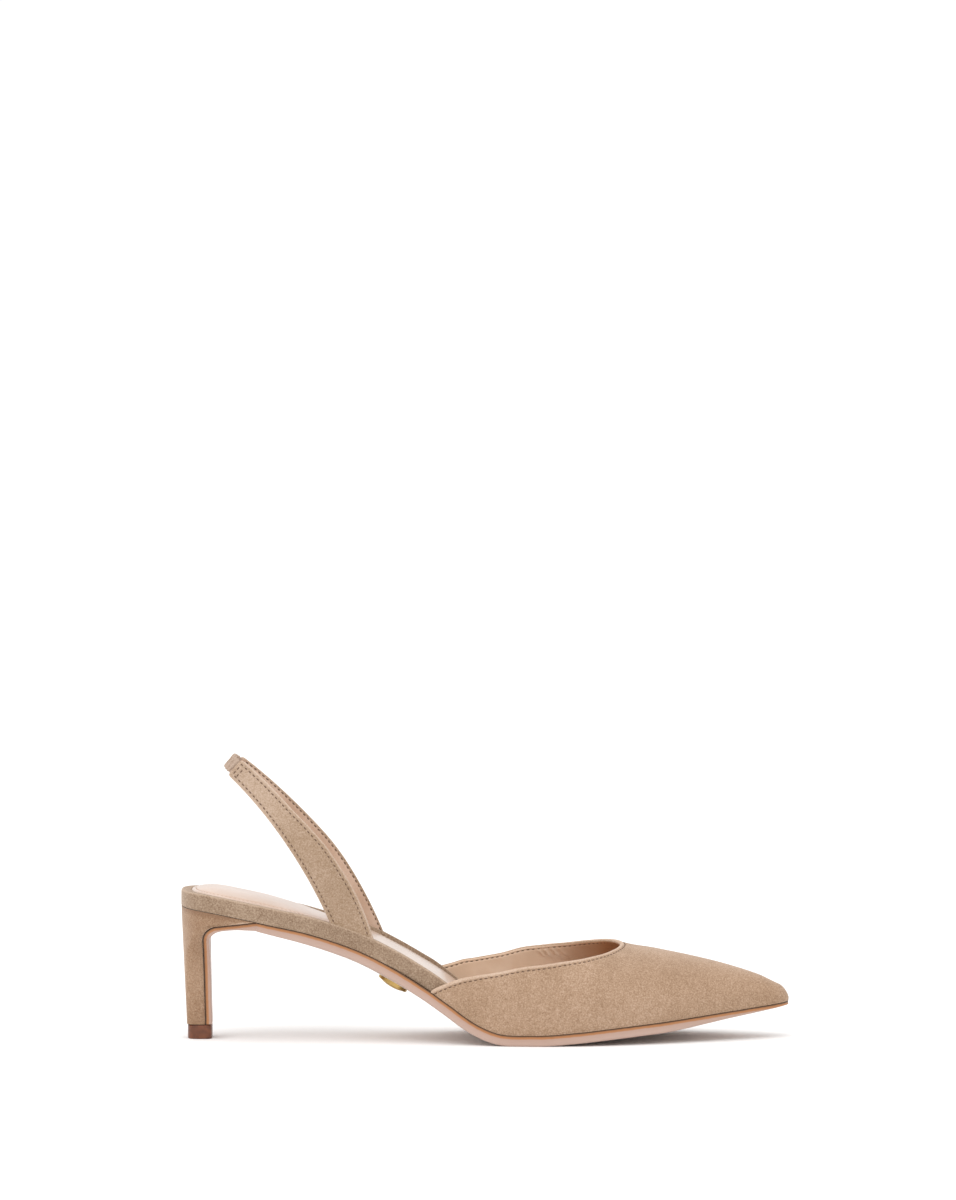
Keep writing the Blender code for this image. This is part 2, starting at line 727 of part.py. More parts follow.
def strap_clock(leg):
    """Shares t along a leg's side view, and how far each lies from the back of the loop."""
    t = np.linspace(BELOW_FOOT, 1, FINE)
    point, _ = strap_side_view(t, leg)
    step = np.linalg.norm(np.diff(point, axis=0), axis=1)
    return t, np.concatenate([np.cumsum(step[::-1])[::-1], [0]])


def share_at(distance, leg):
    """Share t at a distance from the back of the loop, measured in side view."""
    t, away = strap_clock(leg)
    return np.interp(distance, away[::-1], t[::-1])


def strap_surface(t, v, leg, wider=0.0):
    """Middle surface of one leg: t runs up the strap, v from -0.5 at its rear edge to 0.5."""
    point, across = strap_side_view(t, leg)
    clock, away = strap_clock(leg)
    distance = np.interp(t, clock, away)
    full = away[np.searchsorted(clock, 0.0)]
    width = STRAP_TOP_WIDTH + (STRAP_FOOT_WIDTH - STRAP_TOP_WIDTH) * distance / full + wider
    flat = point + (np.asarray(v) * width)[..., None] * across
    foot_edge = leg.side * inset_edge(flat[..., 0], leg.side, STRAP_INSET)
    nose = rounded(distance, LOOP_DEPTH, LOOP_POWER)
    spread = ease(distance / LOOP_TAPER)
    y = leg.side * (LOOP_HALF_WIDTH + (foot_edge - LOOP_HALF_WIDTH) * spread) * nose
    return np.stack([flat[..., 0], y, flat[..., 1]], axis=-1)


def foot_share(leg, depth):
    """Share t at which each line along a leg meets the board's upper face, lowered by a depth."""
    t = np.linspace(BELOW_FOOT, 1 + BELOW_FOOT, FINE)
    shares = []
    for one in ACROSS_BAND:
        line = strap_surface(t, np.full_like(t, one), leg)
        over = line[:, 2] - board_top(line[:, 0] / SHOE_LENGTH) + depth
        shares.append(np.interp(0.0, over, t))
    return np.array(shares)


def leg_rings(leg, start, end, steps, grow):
    """Rings of a leg: its outer face across, then its inner face back, with eased edges.

    start has one share t for each line along the strap. The rings crowd towards the loop.
    """
    share = 1 - (1 - np.linspace(0, 1, steps)[:, None]) ** STRAP_CROWDING
    t = start + (end - start) * share
    middle = strap_surface(t, np.broadcast_to(ACROSS_BAND, t.shape), leg, 2 * grow)
    normal = np.cross(np.gradient(middle, axis=0), np.gradient(middle, axis=1))
    normal = normal / np.linalg.norm(normal, axis=2, keepdims=True)
    half = EASED_BAND * (STRAP_THICKNESS / 2 + grow)
    one = middle + normal * half[:, None]
    other = middle - normal * half[:, None]
    return [np.concatenate([a, b[::-1]]) for a, b in zip(one, other)]


def elastic_rings(reach, grow):
    """Rings of the elastic, from inside one leg, round the back of the loop, to inside the other."""
    turn = np.linspace(0, np.pi / 2, LOOP_STEPS + 1)
    middle = []
    wide = []
    for leg in LEGS:
        t = share_at(reach * (1 - np.cos(turn) ** (2 / LOOP_POWER)), leg)
        _, across = strap_side_view(t, leg)
        middle.append(strap_surface(t, np.zeros_like(t), leg))
        wide.append(np.stack([across[:, 0], np.zeros(len(t)), across[:, 1]], axis=-1))
    middle = np.concatenate([middle[0][::-1], middle[1][1:]])
    wide = np.concatenate([wide[0][::-1], wide[1][1:]])
    thin = np.cross(np.gradient(middle, axis=0), wide)
    thin = thin / np.linalg.norm(thin, axis=1, keepdims=True)
    flat = ACROSS_BAND * (ELASTIC_WIDTH + 2 * grow)
    half = EASED_BAND * (ELASTIC_THICKNESS / 2 + grow)
    rings = []
    for point, w, n in zip(middle, wide, thin):
        one = point + np.outer(flat, w) + np.outer(half, n)
        other = point + np.outer(flat, w) - np.outer(half, n)
        rings.append(np.concatenate([one, other[::-1]]))
    return rings


def make_rim(finish, shoe):
    """The suede-covered board: a tray for the insole, and a slot for each foot of the strap."""
    end = SHOE_LENGTH - TIP_ROUND
    rings = [rim_ring(x) for x in stations(0, end, BOARD_STATIONS)]
    rim = loft("insole_rim", rings, finish, shoe)
    cut(rim, loft("insole_tray", insole_rings(CLEARANCE), finish, shoe))
    for leg in LEGS:
        rings = leg_rings(leg, foot_share(leg, STRAP_SEAT), foot_share(leg, -STRAP_SEAT), 3, CLEARANCE)
        cut(rim, loft("slot_of_" + leg.name, rings, finish, shoe))


def make_straps(leather, stretch, shoe):
    """The two legs of the slingback, and the elastic that joins them behind the foot."""
    reach = STRAP_END + ELASTIC_TUCK
    tunnel = loft("elastic_tunnel", elastic_rings(reach + CLEARANCE, CLEARANCE), stretch, shoe)
    for leg in LEGS:
        start = foot_share(leg, STRAP_SEAT - CLEARANCE)
        rings = leg_rings(leg, start, share_at(STRAP_END, leg), STRAP_STEPS, 0)
        cut(loft(leg.name, rings, leather, shoe), tunnel)
    loft("strap_elastic", elastic_rings(reach, 0), stretch, shoe)


def make_stud(finish, shoe):
    """A plain domed disc under the waist, square to the sole leather."""
    line = sole_line()
    normals = sole_normals(line)
    x = STUD_ALONG * SHOE_LENGTH
    y = (inset_edge(x, -1, SOLE_INSET) + inset_edge(x, 1, SOLE_INSET)) / 2
    under = line + normals * (SOLE_THICKNESS + SOLE_CROWN + CLEARANCE)
    waist = line[:, 0] > SEAT_FRONT * SHOE_LENGTH
    z = np.interp(-x, -under[waist, 0], under[waist, 1])
    nx = np.interp(-x, -under[waist, 0], normals[waist, 0])
    nz = np.interp(-x, -under[waist, 0], normals[waist, 1])
    turn = 2 * np.pi * np.arange(STUD_POINTS) / STUD_POINTS
    rings = []
    for swell in np.linspace(0, 1, STUD_RINGS):
        radius = STUD_RADIUS * np.sqrt(1 - STUD_DOME * swell**3)
        depth = STUD_HEIGHT * swell
        forward = radius * np.cos(turn)
        ring = [x + nx * depth - nz * forward, y + radius * np.sin(turn), z + nz * depth + nx * forward]
        rings.append(np.stack(ring, axis=-1))
    loft("arch_stud", rings, finish, shoe)


def centre_on_origin(shoe):
    """Puts the middle of the shoe's length and width over the origin."""
    pieces = [piece for piece in shoe.children if not piece.hide_render]
    corners = np.array([tuple(v.co) for piece in pieces for v in piece.data.vertices])
    low = corners.min(axis=0)
    high = corners.max(axis=0)
    shoe.location = (-(low[0] + high[0]) / 2, -(low[1] + high[1]) / 2, 0)


def main():
    """Clears the scene and makes every piece of the shoe."""
    for old in list(bpy.data.objects):
        bpy.data.objects.remove(old, do_unlink=True)
    shoe = bpy.data.objects.new("shoe", None)
    bpy.context.scene.collection.objects.link(shoe)
    make_upper(material("vamp_suede", "BE9F85", 0.95), shoe)
    make_rim(material("rim_suede", "B29A85", 0.95), shoe)
    loft("insole", insole_rings(0), material("insole_leather", "E8DACE", 0.55), shoe)
    loft("outsole", sole_rings(), material("sole_leather", "C1A99C", 0.5), shoe)
    heel = loft("heel", heel_rings(), material("heel_suede", "A98A70", 0.95), shoe)
    cut(heel, loft("seat_space", seat_cutter_rings(), heel.active_material, shoe))
    loft("heel_tip", tip_rings(), material("tip_rubber", "6E4A37", 0.6), shoe)
    make_straps(material("strap_suede", "BBA089", 0.95), material("elastic_cover", "B9A595", 0.9), shoe)
    make_stud(material("plain_brass", "BEA285", 0.3, metallic=1.0), shoe)
    centre_on_origin(shoe)


main()
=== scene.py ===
# %% [markdown]
# # A suede slingback pump
#
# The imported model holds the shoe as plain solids. This file loads it as a fixed frame and dresses
# it: each solid is replaced by a finer surface of the same form, in suede, leather, paint, rubber
# or brass, and what the solids leave out is added, such as stitches, folded edges and creases.

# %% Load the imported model
from collections import namedtuple

import bmesh
import bpy
import numpy as np
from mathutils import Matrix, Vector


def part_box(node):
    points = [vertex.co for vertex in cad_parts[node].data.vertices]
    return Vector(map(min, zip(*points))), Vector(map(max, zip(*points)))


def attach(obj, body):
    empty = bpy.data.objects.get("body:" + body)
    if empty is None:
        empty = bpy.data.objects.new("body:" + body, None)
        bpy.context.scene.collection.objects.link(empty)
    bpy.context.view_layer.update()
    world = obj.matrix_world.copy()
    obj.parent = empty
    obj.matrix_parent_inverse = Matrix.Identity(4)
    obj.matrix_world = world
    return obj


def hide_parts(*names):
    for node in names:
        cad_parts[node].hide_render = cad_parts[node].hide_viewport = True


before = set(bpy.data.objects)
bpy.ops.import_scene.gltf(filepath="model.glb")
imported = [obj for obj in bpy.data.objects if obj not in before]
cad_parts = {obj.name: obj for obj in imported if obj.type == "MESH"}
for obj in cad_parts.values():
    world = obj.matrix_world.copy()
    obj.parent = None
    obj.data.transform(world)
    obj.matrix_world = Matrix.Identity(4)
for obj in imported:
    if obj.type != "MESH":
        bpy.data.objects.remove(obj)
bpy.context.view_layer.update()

print("solids:", ", ".join(sorted(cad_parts)))

# %% [markdown]
# ## Where the shoe stands
#
# The forms below are worked out from the back of the heel seat, with X running to the toe. Two
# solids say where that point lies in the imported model: the insole rim starts there, and the heel
# is as wide to one side of it as to the other.

# %% The back of the seat in the frame
heel_low, heel_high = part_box("heel")
BACK = np.array([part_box("insole_rim")[0].x, (heel_low.y + heel_high.y) / 2, 0.0])
print("back of the seat, mm:", np.round(BACK * 1000, 2))

# %% [markdown]
# ## Sizes in metres
#
# A shoemaker builds on a last, a wooden foot. Its sizes come first, then those of each piece.
# Places along the shoe are shares of its length: 0 at the back of the seat and 1 at the toe.

# %% Sizes of the last
SHOE_LENGTH = 0.2505
BALL_WIDTH = 0.0755
SEAT_WIDTH = 0.0515
HEEL_HEIGHT = 0.0550
TOE_RISE = 0.0104
THROAT_HEIGHT = 0.0315
TOE_SWING = 0.0030
RIDGE_SHIFT = 0.0030
SEAT_ROUND = 0.0230
TOE_ROUND = 0.0070
TIP_ROUND = 0.0045

# %% Sizes of the pieces
CLEARANCE = 0.0003
UPPER_WALL = 0.0017
SOLE_THICKNESS = 0.0042
SOLE_CROWN = 0.0018
SOLE_INSET = 0.0004
FLAP_THICKNESS = 0.0024
RIM_THICKNESS = 0.0069
BOARD_THICKNESS = 0.0030
RIM_LIP = 0.0042
TRAY_DEPTH = 0.0012
INSOLE_EDGE = 0.0010
HEEL_DEPTH = 0.0094
HEEL_RAKE = 0.0025
HEEL_FOOT_REACH = 0.0009
HEEL_FRONT_ROUND = 0.0070
HEEL_LIP_BLUNT = 0.0004
BREAST_RADIUS = 0.0062
TIP_HEIGHT = 0.0057
TIP_STEP = 0.0004
STRAP_THICKNESS = 0.0026
STRAP_FOOT_WIDTH = 0.0134
STRAP_TOP_WIDTH = 0.0083
STRAP_INSET = 0.0021
STRAP_SEAT = 0.0030
STRAP_RISE = 0.0592
LOOP_HALF_WIDTH = 0.0095
LOOP_DEPTH = 0.0078
LOOP_TAPER = 0.0640
STRAP_END = 0.0029
ELASTIC_WIDTH = 0.0065
ELASTIC_THICKNESS = 0.0011
ELASTIC_TUCK = 0.0040
STUD_RADIUS = 0.0066
STUD_HEIGHT = 0.0028

# %% Places along the shoe, and forms that have no length
SEAT_FRONT = 0.126
STRAP_BACK_ALONG = 0.081
STUD_ALONG = 0.350
UPPER_FRONT = 0.9992
WIDENS = (0.15, 0.55)
SWINGS_FROM = 0.55
RIDGE_CENTRED_FROM = 0.80
TUCKS = (0.31, 0.385)
THINS = (0.43, 0.54)
SOFTENS = (0.35, 0.55)
SEAT_POWER = 2.3
SECTION_POWER = 2.3
LOOP_POWER = 3.0
HEEL_FRONT_POWER = 12.0
TIP_BACK_POWER = 4.0
TIP_FRONT_POWER = 5.0
HEEL_MIDDLE = 0.6
SEAT_UNDERSIDE_SLOPE = 0.12
SIDE_BULGE = 0.055
BULGE_PEAK = 2.6  # one over the highest value of up * across^2, the shape of the bulge
FORE_PADDING = 0.5

# %% [markdown]
# ## Tables of sections
#
# A last has no formula. Its outline and profile are given at chosen places, and a smooth curve
# runs through them. The half widths are shares of the local width of the last, the profile's
# heights are shares of the rise of the seat and of the toe, and the ridge is a share of the throat.


# %% The last
def table(names, *rows):
    """Rows of numbers as named columns. The others are read by their place in the first one."""
    return dict(zip(names.split(), np.array(rows).T))


OUTLINE = table(
    "along outer inner",
    (0.00, 0.980, 0.980), (0.16, 0.980, 0.945), (0.24, 0.905, 0.790), (0.30, 0.840, 0.680),
    (0.36, 0.835, 0.645), (0.42, 0.867, 0.680), (0.48, 0.918, 0.760), (0.54, 0.972, 0.860),
    (0.60, 1.000, 0.945), (0.66, 0.985, 0.960), (0.72, 0.905, 0.890), (0.80, 0.728, 0.718),
    (0.87, 0.535, 0.530), (0.94, 0.322, 0.322), (1.00, 0.145, 0.145),
)

PROFILE = table(
    "along seat toe",
    (0.00, 1.000, 0.0), (0.05, 0.972, 0.0), (0.10, 0.924, 0.0), (0.15, 0.870, 0.0),
    (0.20, 0.816, 0.0), (0.25, 0.742, 0.0), (0.30, 0.648, 0.0), (0.35, 0.522, 0.0),
    (0.40, 0.372, 0.0), (0.44, 0.236, 0.0), (0.48, 0.098, 0.0), (0.515, 0.020, 0.0),
    (0.545, 0.0, 0.0), (0.585, 0.0, 0.0), (0.64, 0.0, 0.085), (0.72, 0.0, 0.270),
    (0.80, 0.0, 0.450), (0.88, 0.0, 0.670), (0.94, 0.0, 0.830), (1.00, 0.0, 1.000),
)

RIDGE = table(
    "along height",
    (0.38, 1.42), (0.47, 1.70), (0.54, 1.68), (0.60, 1.52), (0.66, 1.275), (0.725, 1.0),
    (0.78, 0.879), (0.84, 0.730), (0.90, 0.560), (0.95, 0.390), (0.98, 0.250), (1.00, 0.175),
)

# %% The vamp's top line, from its outer corner over the throat to its inner corner
TOP_LINE = table(
    "girth along",
    (0.0000, 0.4090), (0.0442, 0.4398), (0.0838, 0.4676), (0.1170, 0.4954), (0.1410, 0.5232),
    (0.1583, 0.5510), (0.1752, 0.5788), (0.1953, 0.6067), (0.2200, 0.6345), (0.2525, 0.6623),
    (0.3010, 0.6893), (0.3480, 0.7053), (0.4070, 0.7176), (0.480, 0.7225), (0.550, 0.7165),
    (0.634, 0.6970), (0.700, 0.673), (0.761, 0.634), (0.799, 0.592), (0.829, 0.550),
    (0.861, 0.508), (0.907, 0.466), (0.9345, 0.446), (0.9595, 0.4255), (1.000, 0.390),
)

# %% The heel and the sole leather
HEEL = table(
    "height half square",
    (0.110, 0.285, 4.0), (0.300, 0.305, 4.0), (0.480, 0.350, 3.6), (0.600, 0.415, 3.3),
    (0.680, 0.500, 3.0), (0.750, 0.630, 2.7), (0.800, 0.755, 2.5), (0.840, 0.860, 2.4),
    (0.870, 0.925, 2.35), (0.900, 0.965, 2.3), (1.100, 0.978, 2.3),
)

LEATHER = table(
    "along share crown",
    (0.126, 0.80, 0.2), (0.22, 1.00, 0.8), (0.35, 1.00, 1.0), (0.44, 1.00, 0.5),
    (0.50, 1.00, 0.0), (0.78, 1.00, 0.0), (0.86, 0.75, 0.0), (0.90, 0.58, 0.0),
    (0.96, 0.38, 0.0), (1.00, 0.24, 0.0),
)

FLAP = table(
    "reach share",
    (0.00, 0.95), (0.08, 1.05), (0.20, 0.92), (0.36, 0.72), (0.60, 0.80), (0.80, 1.08),
    (1.00, 1.40),
)

Leg = namedtuple("Leg", "name side foot bow")
LEGS = [
    Leg("strap_lateral", -1, 0.279, 0.0047),
    Leg("strap_medial", 1, 0.297, 0.0060),
]

# %% [markdown]
# ## Curves
#
# Every table is read through one smooth curve. It bends only where the table does, so a sole that
# is flat between two rows stays flat. A few plain shapes serve the whole file: a smooth step, a
# rounded end, and a hump for every pressed line and rubbed edge.


# %% Curves through a table
def through(xs, ys, x):
    """A smooth curve through the points (xs, ys): each piece is a cubic that meets the next.

    A point's slope is the mean of its neighbours' slopes, held to three times the smaller, and
    zero where they point opposite ways.
    """
    step = np.diff(xs)
    rate = np.diff(ys) / step
    mean = (ys[2:] - ys[:-2]) / (xs[2:] - xs[:-2])
    limit = 3 * np.minimum(np.abs(rate[1:]), np.abs(rate[:-1]))
    inner = np.where(rate[1:] * rate[:-1] > 0, np.sign(mean) * np.minimum(np.abs(mean), limit), 0)
    slope = np.concatenate([rate[:1], inner, rate[-1:]])
    x = np.clip(x, xs[0], xs[-1])
    i = np.clip(np.searchsorted(xs, x) - 1, 0, len(xs) - 2)
    t = (x - xs[i]) / step[i]
    rising = t * t * (3 - 2 * t)
    bend = t * (1 - t) * step[i]
    return ys[i] * (1 - rising) + ys[i + 1] * rising + bend * ((1 - t) * slope[i] - t * slope[i + 1])


def from_table(rows, name, place):
    """A table's column as a smooth function of its first one."""
    return through(next(iter(rows.values())), rows[name], place)


def smooth_rows(rows, count):
    """All columns of a table at evenly spaced places down its rows, on a smooth curve."""
    order = np.arange(len(next(iter(rows.values()))))
    place = np.linspace(0, order[-1], count)
    return [through(order, values, place) for values in rows.values()]


# %% Plain shapes
def ease(x, start=0.0, end=1.0):
    """Zero up to the start, one from the end, and 3 t^2 - 2 t^3 between."""
    t = np.clip((x - start) / (end - start), 0, 1)
    return t * t * (3 - 2 * t)


def rounded(distance, length, power):
    """Share of the full size at a distance from a rounded end: (1 - (1 - d)^p)^(1/p)."""
    back = 1 - np.clip(distance / length, 0, 1)
    return (1 - back**power) ** (1 / power)


def crowded(count, power):
    """Shares from 0 to 1 that stand closer together near 1: 1 - (1 - s)^power."""
    return 1 - (1 - np.linspace(0, 1, count)) ** power


def hump(x, middle, width):
    """One at the middle and falling away on both sides: exp(-((x - middle) / width)^2)."""
    return np.exp(-(((x - middle) / width) ** 2))


def unit(vectors):
    """Vectors of length one."""
    return vectors / np.maximum(np.linalg.norm(vectors, axis=-1, keepdims=True), 1e-12)


def arc_length(path):
    """How far each point of a path lies from its start, along the path."""
    return np.concatenate([[0], np.cumsum(np.linalg.norm(np.diff(path, axis=0), axis=1))])


def at_lengths(place, length, points):
    """Points between those of a path, at places given by their length along it."""
    return np.stack([np.interp(place, length, values) for values in points.T], axis=-1)


# %% [markdown]
# ## The last
#
# The last is a function of two shares. The first is the place along the shoe. The second is the
# girth: 0 at the outer feather line, where the upper meets the sole, 0.5 on the ridge and 1 at
# the inner feather line. Each section is a superellipse, a little fuller on its sides.


# %% The feather line
FINE = 2400


def centre_line(along):
    """How far the middle of the last swings to the inner side."""
    return TOE_SWING * ease(along, SWINGS_FROM, 1)


def half_width(along, side):
    """Half width of the feather line on one side: -1 is the outer side, 1 the inner."""
    widened = ease(along, *WIDENS)
    local = (SEAT_WIDTH + (BALL_WIDTH - SEAT_WIDTH) * widened) / 2
    outer = from_table(OUTLINE, "outer", along)
    inner = from_table(OUTLINE, "inner", along)
    heel_end = rounded(along * SHOE_LENGTH, SEAT_ROUND, SEAT_POWER)
    toe_end = rounded((1 - along) * SHOE_LENGTH, TOE_ROUND, 2.0)
    return np.where(np.asarray(side) < 0, outer, inner) * local * heel_end * toe_end


def feather_height(along):
    """Height of the feather line over the floor."""
    ball = SOLE_THICKNESS + CLEARANCE
    seat = from_table(PROFILE, "seat", along) * (HEEL_HEIGHT - ball)
    return ball + seat + from_table(PROFILE, "toe", along) * TOE_RISE


def slant(along):
    """Length of the feather line's profile for each unit along X."""
    small = 1e-3
    rise = feather_height(along + small) - feather_height(along - small)
    return np.hypot(1, rise / (2 * small * SHOE_LENGTH))


def outline(side):
    """X and Y of the feather line on one side, with its points closer together at both ends."""
    along = 0.5 - 0.5 * np.cos(np.pi * np.linspace(0, 1, FINE))
    return along * SHOE_LENGTH, centre_line(along) + side * half_width(along, side)


def inset_edge(x, side, inset):
    """The feather line's Y at x, once it is drawn in square to itself by an inset."""
    px, py = outline(side)
    dx = np.gradient(px)
    dy = np.gradient(py)
    size = np.hypot(dx, dy)
    return np.interp(x, px + side * inset * dy / size, py - side * inset * dx / size)


# %% The surface of the last
def last_surface(along, girth):
    """A point of the vamp's outer face, from its shares along the shoe and round the foot.

    With the turn a = pi * girth, the section is across = -cos(a) and up = sin(a), both raised to
    2 / power, times the half width and the height of the ridge. The side swells by up * across^2.
    """
    turn = np.pi * girth
    up = np.sin(turn)
    across = -np.cos(turn)
    fuller = 1 + SIDE_BULGE * BULGE_PEAK * up * across**2
    reach = np.sign(across) * np.abs(across) ** (2 / SECTION_POWER)
    y = centre_line(along) + reach * half_width(along, across) * fuller
    y = y + RIDGE_SHIFT * up**2 * ease(1 - along, 0, 1 - RIDGE_CENTRED_FROM)
    tip = rounded((1 - along) * SHOE_LENGTH, TIP_ROUND, 2.0)
    ridge = from_table(RIDGE, "height", along) * THROAT_HEIGHT * tip
    z = feather_height(along) + ridge * up ** (2 / SECTION_POWER)
    return np.stack([along * SHOE_LENGTH, y, z], axis=-1)


def last_normal(along, girth):
    """The outward unit vector there: the cross product of a small step along and one round."""
    small = 2e-4
    steady = np.clip(girth, small, 1 - small)
    onward = last_surface(along + small, steady) - last_surface(along - small, steady)
    over = last_surface(along, steady + small) - last_surface(along, steady - small)
    return unit(np.cross(onward, over))


# %% [markdown]
# ## From numbers to meshes
#
# Almost every piece is a grid: rows and columns of points worked out as one array. The helper
# below joins each point to its neighbours with quads. Where two edges of the grid meet, or a row
# shrinks to one point, the doubled points are merged, and the faces are turned to point outwards.


# %% One grid, one piece
def dress(name, mesh, finishes, node):
    """Makes the object of a mesh. It rides on the shoe, and may stand for a solid of the model."""
    mesh.name = name
    for finish in finishes:
        mesh.materials.append(finish)
    piece = bpy.data.objects.new(name, mesh)
    bpy.context.scene.collection.objects.link(piece)
    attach(piece, "root")
    if node:
        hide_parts(node)
    print(name, "has", len(mesh.polygons), "faces")
    return piece


def merge(mesh, sharp):
    """Merges doubled points, turns faces outwards, and keeps edges sharper than an angle sharp."""
    work = bmesh.new()
    work.from_mesh(mesh)
    bmesh.ops.remove_doubles(work, verts=work.verts, dist=1e-6)
    bmesh.ops.recalc_face_normals(work, faces=work.faces)
    work.to_mesh(mesh)
    work.free()
    mesh.shade_smooth()
    mesh.set_sharp_from_angle(angle=np.radians(sharp))


def pole(row):
    """A row of points drawn together at its middle, which closes the end of a grid."""
    return np.broadcast_to(row.mean(axis=0), row.shape)[None]


def grid_mesh(points, uv=None, part=None, wear_and_light_level=None, sharp=60):
    """A mesh over a grid of points measured from the back of the seat.

    Face (i, j) joins points (i, j), (i, j + 1), (i + 1, j + 1) and (i + 1, j). uv has two numbers
    for each point, part gives each column of faces its place in the list of finishes, and the last
    gives each point's painted light and wear in the suede's colour: a painted highlight with wear
    where it is positive, painted shade where it is negative.
    """
    rows, columns = points.shape[:2]
    index = np.arange(rows * columns).reshape(rows, columns)
    corners = np.stack([index[:-1, :-1], index[:-1, 1:], index[1:, 1:], index[1:, :-1]], axis=-1)
    corners = corners.reshape(-1, 4)
    mesh = bpy.data.meshes.new("grid")
    mesh.vertices.add(rows * columns)
    mesh.vertices.foreach_set("co", (points + BACK).astype(np.float32).ravel())
    mesh.loops.add(corners.size)
    mesh.loops.foreach_set("vertex_index", corners.astype(np.int32).ravel())
    mesh.polygons.add(len(corners))
    mesh.polygons.foreach_set("loop_start", np.arange(0, corners.size, 4, dtype=np.int32))
    if part is not None:
        part = np.broadcast_to(part, (rows - 1, columns - 1)).astype(np.int32)
        mesh.polygons.foreach_set("material_index", part.ravel())
    if uv is not None:
        layer = mesh.uv_layers.new(name="UVMap")
        layer.data.foreach_set("uv", uv.reshape(-1, 2)[corners.ravel()].astype(np.float32).ravel())
    if wear_and_light_level is not None:
        wear_and_light_level = np.broadcast_to(wear_and_light_level, (rows, columns)).astype(np.float32)
        mesh.attributes.new("wear_and_light_level", "FLOAT", "POINT").data.foreach_set("value", wear_and_light_level.ravel())
    mesh.update(calc_edges=True)
    merge(mesh, sharp)
    return mesh


# %% [markdown]
# ## Materials
#
# Each material starts from what the real one is and how its surface was made. Colours are written
# as on a screen and turned to linear light by one function, and one helper adds a node. Every
# material ends the same way: a pattern chooses its colour, and a pattern raises its surface.

# %% Colours, nodes and finishes
MM = 0.001


def linear(code):
    """Linear red, green, blue and alpha of an sRGB colour code."""
    share = np.array([int(code[i : i + 2], 16) for i in (0, 2, 4)]) / 255
    return (*np.where(share <= 0.04045, share / 12.92, ((share + 0.055) / 1.055) ** 2.4), 1.0)


def add(tree, kind, settings=None, links=None, stops=(), **choices):
    """Adds a node. settings are values for its inputs, links are sockets that feed them, and
    stops are the (place, colour code) pairs of a colour ramp."""
    made = tree.nodes.new("ShaderNode" + kind)
    for name, value in choices.items():
        setattr(made, name, value)
    for name, value in (settings or {}).items():
        made.inputs[name].default_value = value
    for name, socket in (links or {}).items():
        tree.links.new(socket, made.inputs[name])
    for _ in stops[2:]:
        made.color_ramp.elements.new(0.5)
    for k, (position, code) in enumerate(stops):
        made.color_ramp.elements[k].position = position
        made.color_ramp.elements[k].color = linear(code)
    return made


def new_finish(name, **sockets):
    """A material with the shader's own sockets set. Gives its tree, its shader and the place."""
    made = bpy.data.materials.new(name)
    made.use_nodes = True
    tree = made.node_tree
    shader = tree.nodes["Principled BSDF"]
    for socket, value in sockets.items():
        shader.inputs[socket.replace("_", " ")].default_value = value
    return made, tree, shader, add(tree, "TexCoord").outputs["Object"]


def cover(tree, shader, level, stops, height, strength, depth):
    """Colours a surface by a level, through colour stops, and raises it by a height."""
    colour = add(tree, "ValToRGB", links={"Fac": level}, stops=stops).outputs["Color"]
    tree.links.new(colour, shader.inputs["Base Color"])
    bump = add(tree, "Bump", {"Strength": strength, "Distance": depth}, {"Height": height})
    tree.links.new(bump.outputs["Normal"], shader.inputs["Normal"])
    return colour


# %% [markdown]
# ## Suede
#
# Suede is the flesh side of a hide, sanded until its fibres stand up as a nap. The nap leans one
# way or the other where it was brushed, which gives soft patches some centimetres wide. Its
# fibres lie in tufts, drawn here at 0.6 mm, which is coarser than they are, so that they show.
# Suede has no gloss at all, only the pale bloom of fibres seen edge on, which the shader calls
# sheen. Its colour is also painted: paler on some edges as a painted highlight, with some wear of
# the nap, and darker in a seam as painted shade. A value on each point of the mesh says where.
# Three noises at those sizes drive one ramp.

# %% Suede
PATCH = 22 * MM
CLUSTER = 3 * MM
CLUSTER_WEIGHT = 0.14
TUFT_WEIGHT = 0.85
WEAR_AND_LIGHT_WEIGHT = 0.36
NAP_HEIGHT = 0.22 * MM


def suede(name, deep, even, pale, painted_light_and_wear, tuft, patchy=0.22):
    """Brushed suede between three colours, and a fourth for painted highlights and wear. tuft is a
    tuft's width.

    Its level is 0.5, where the even colour lies, plus weight * (noise - 0.5) for each of the
    three noises, plus a weight times the mesh's value of painted light and wear, which is positive
    for a painted highlight and negative for painted shade. patchy is the weight of the wide patches.
    """
    made, tree, shader, place = new_finish(
        name,
        Roughness=0.95,
        Specular_IOR_Level=0.1,
        Sheen_Weight=0.55,
        Sheen_Roughness=0.42,
        Sheen_Tint=linear("DDD0C6"),
    )
    middle = (patchy + CLUSTER_WEIGHT + TUFT_WEIGHT) / 2
    # The mesh's value of painted light and wear: painted highlights raise the level, painted shade
    # lowers it
    wear_and_light_level = {0: add(tree, "Attribute", attribute_name="wear_and_light_level").outputs["Fac"]}
    level = add(tree, "Math", {1: WEAR_AND_LIGHT_WEIGHT, 2: 0.5 - middle}, wear_and_light_level, operation="MULTIPLY_ADD")
    noises = ((PATCH, 0.4, patchy), (CLUSTER, 0.5, CLUSTER_WEIGHT), (tuft, 0.75, TUFT_WEIGHT))
    for size, rough, weight in noises:
        form = {"Scale": 1 / size, "Detail": 3.0, "Roughness": rough}
        noise = add(tree, "TexNoise", form, {"Vector": place}).outputs["Fac"]
        level = add(tree, "Math", {1: weight}, {0: noise, 2: level.outputs[0]}, operation="MULTIPLY_ADD")
    stops = [(0.36, deep), (0.5, even), (0.64, pale), (0.88, painted_light_and_wear)]
    cover(tree, shader, level.outputs[0], stops, noise, 0.7, NAP_HEIGHT)
    return made
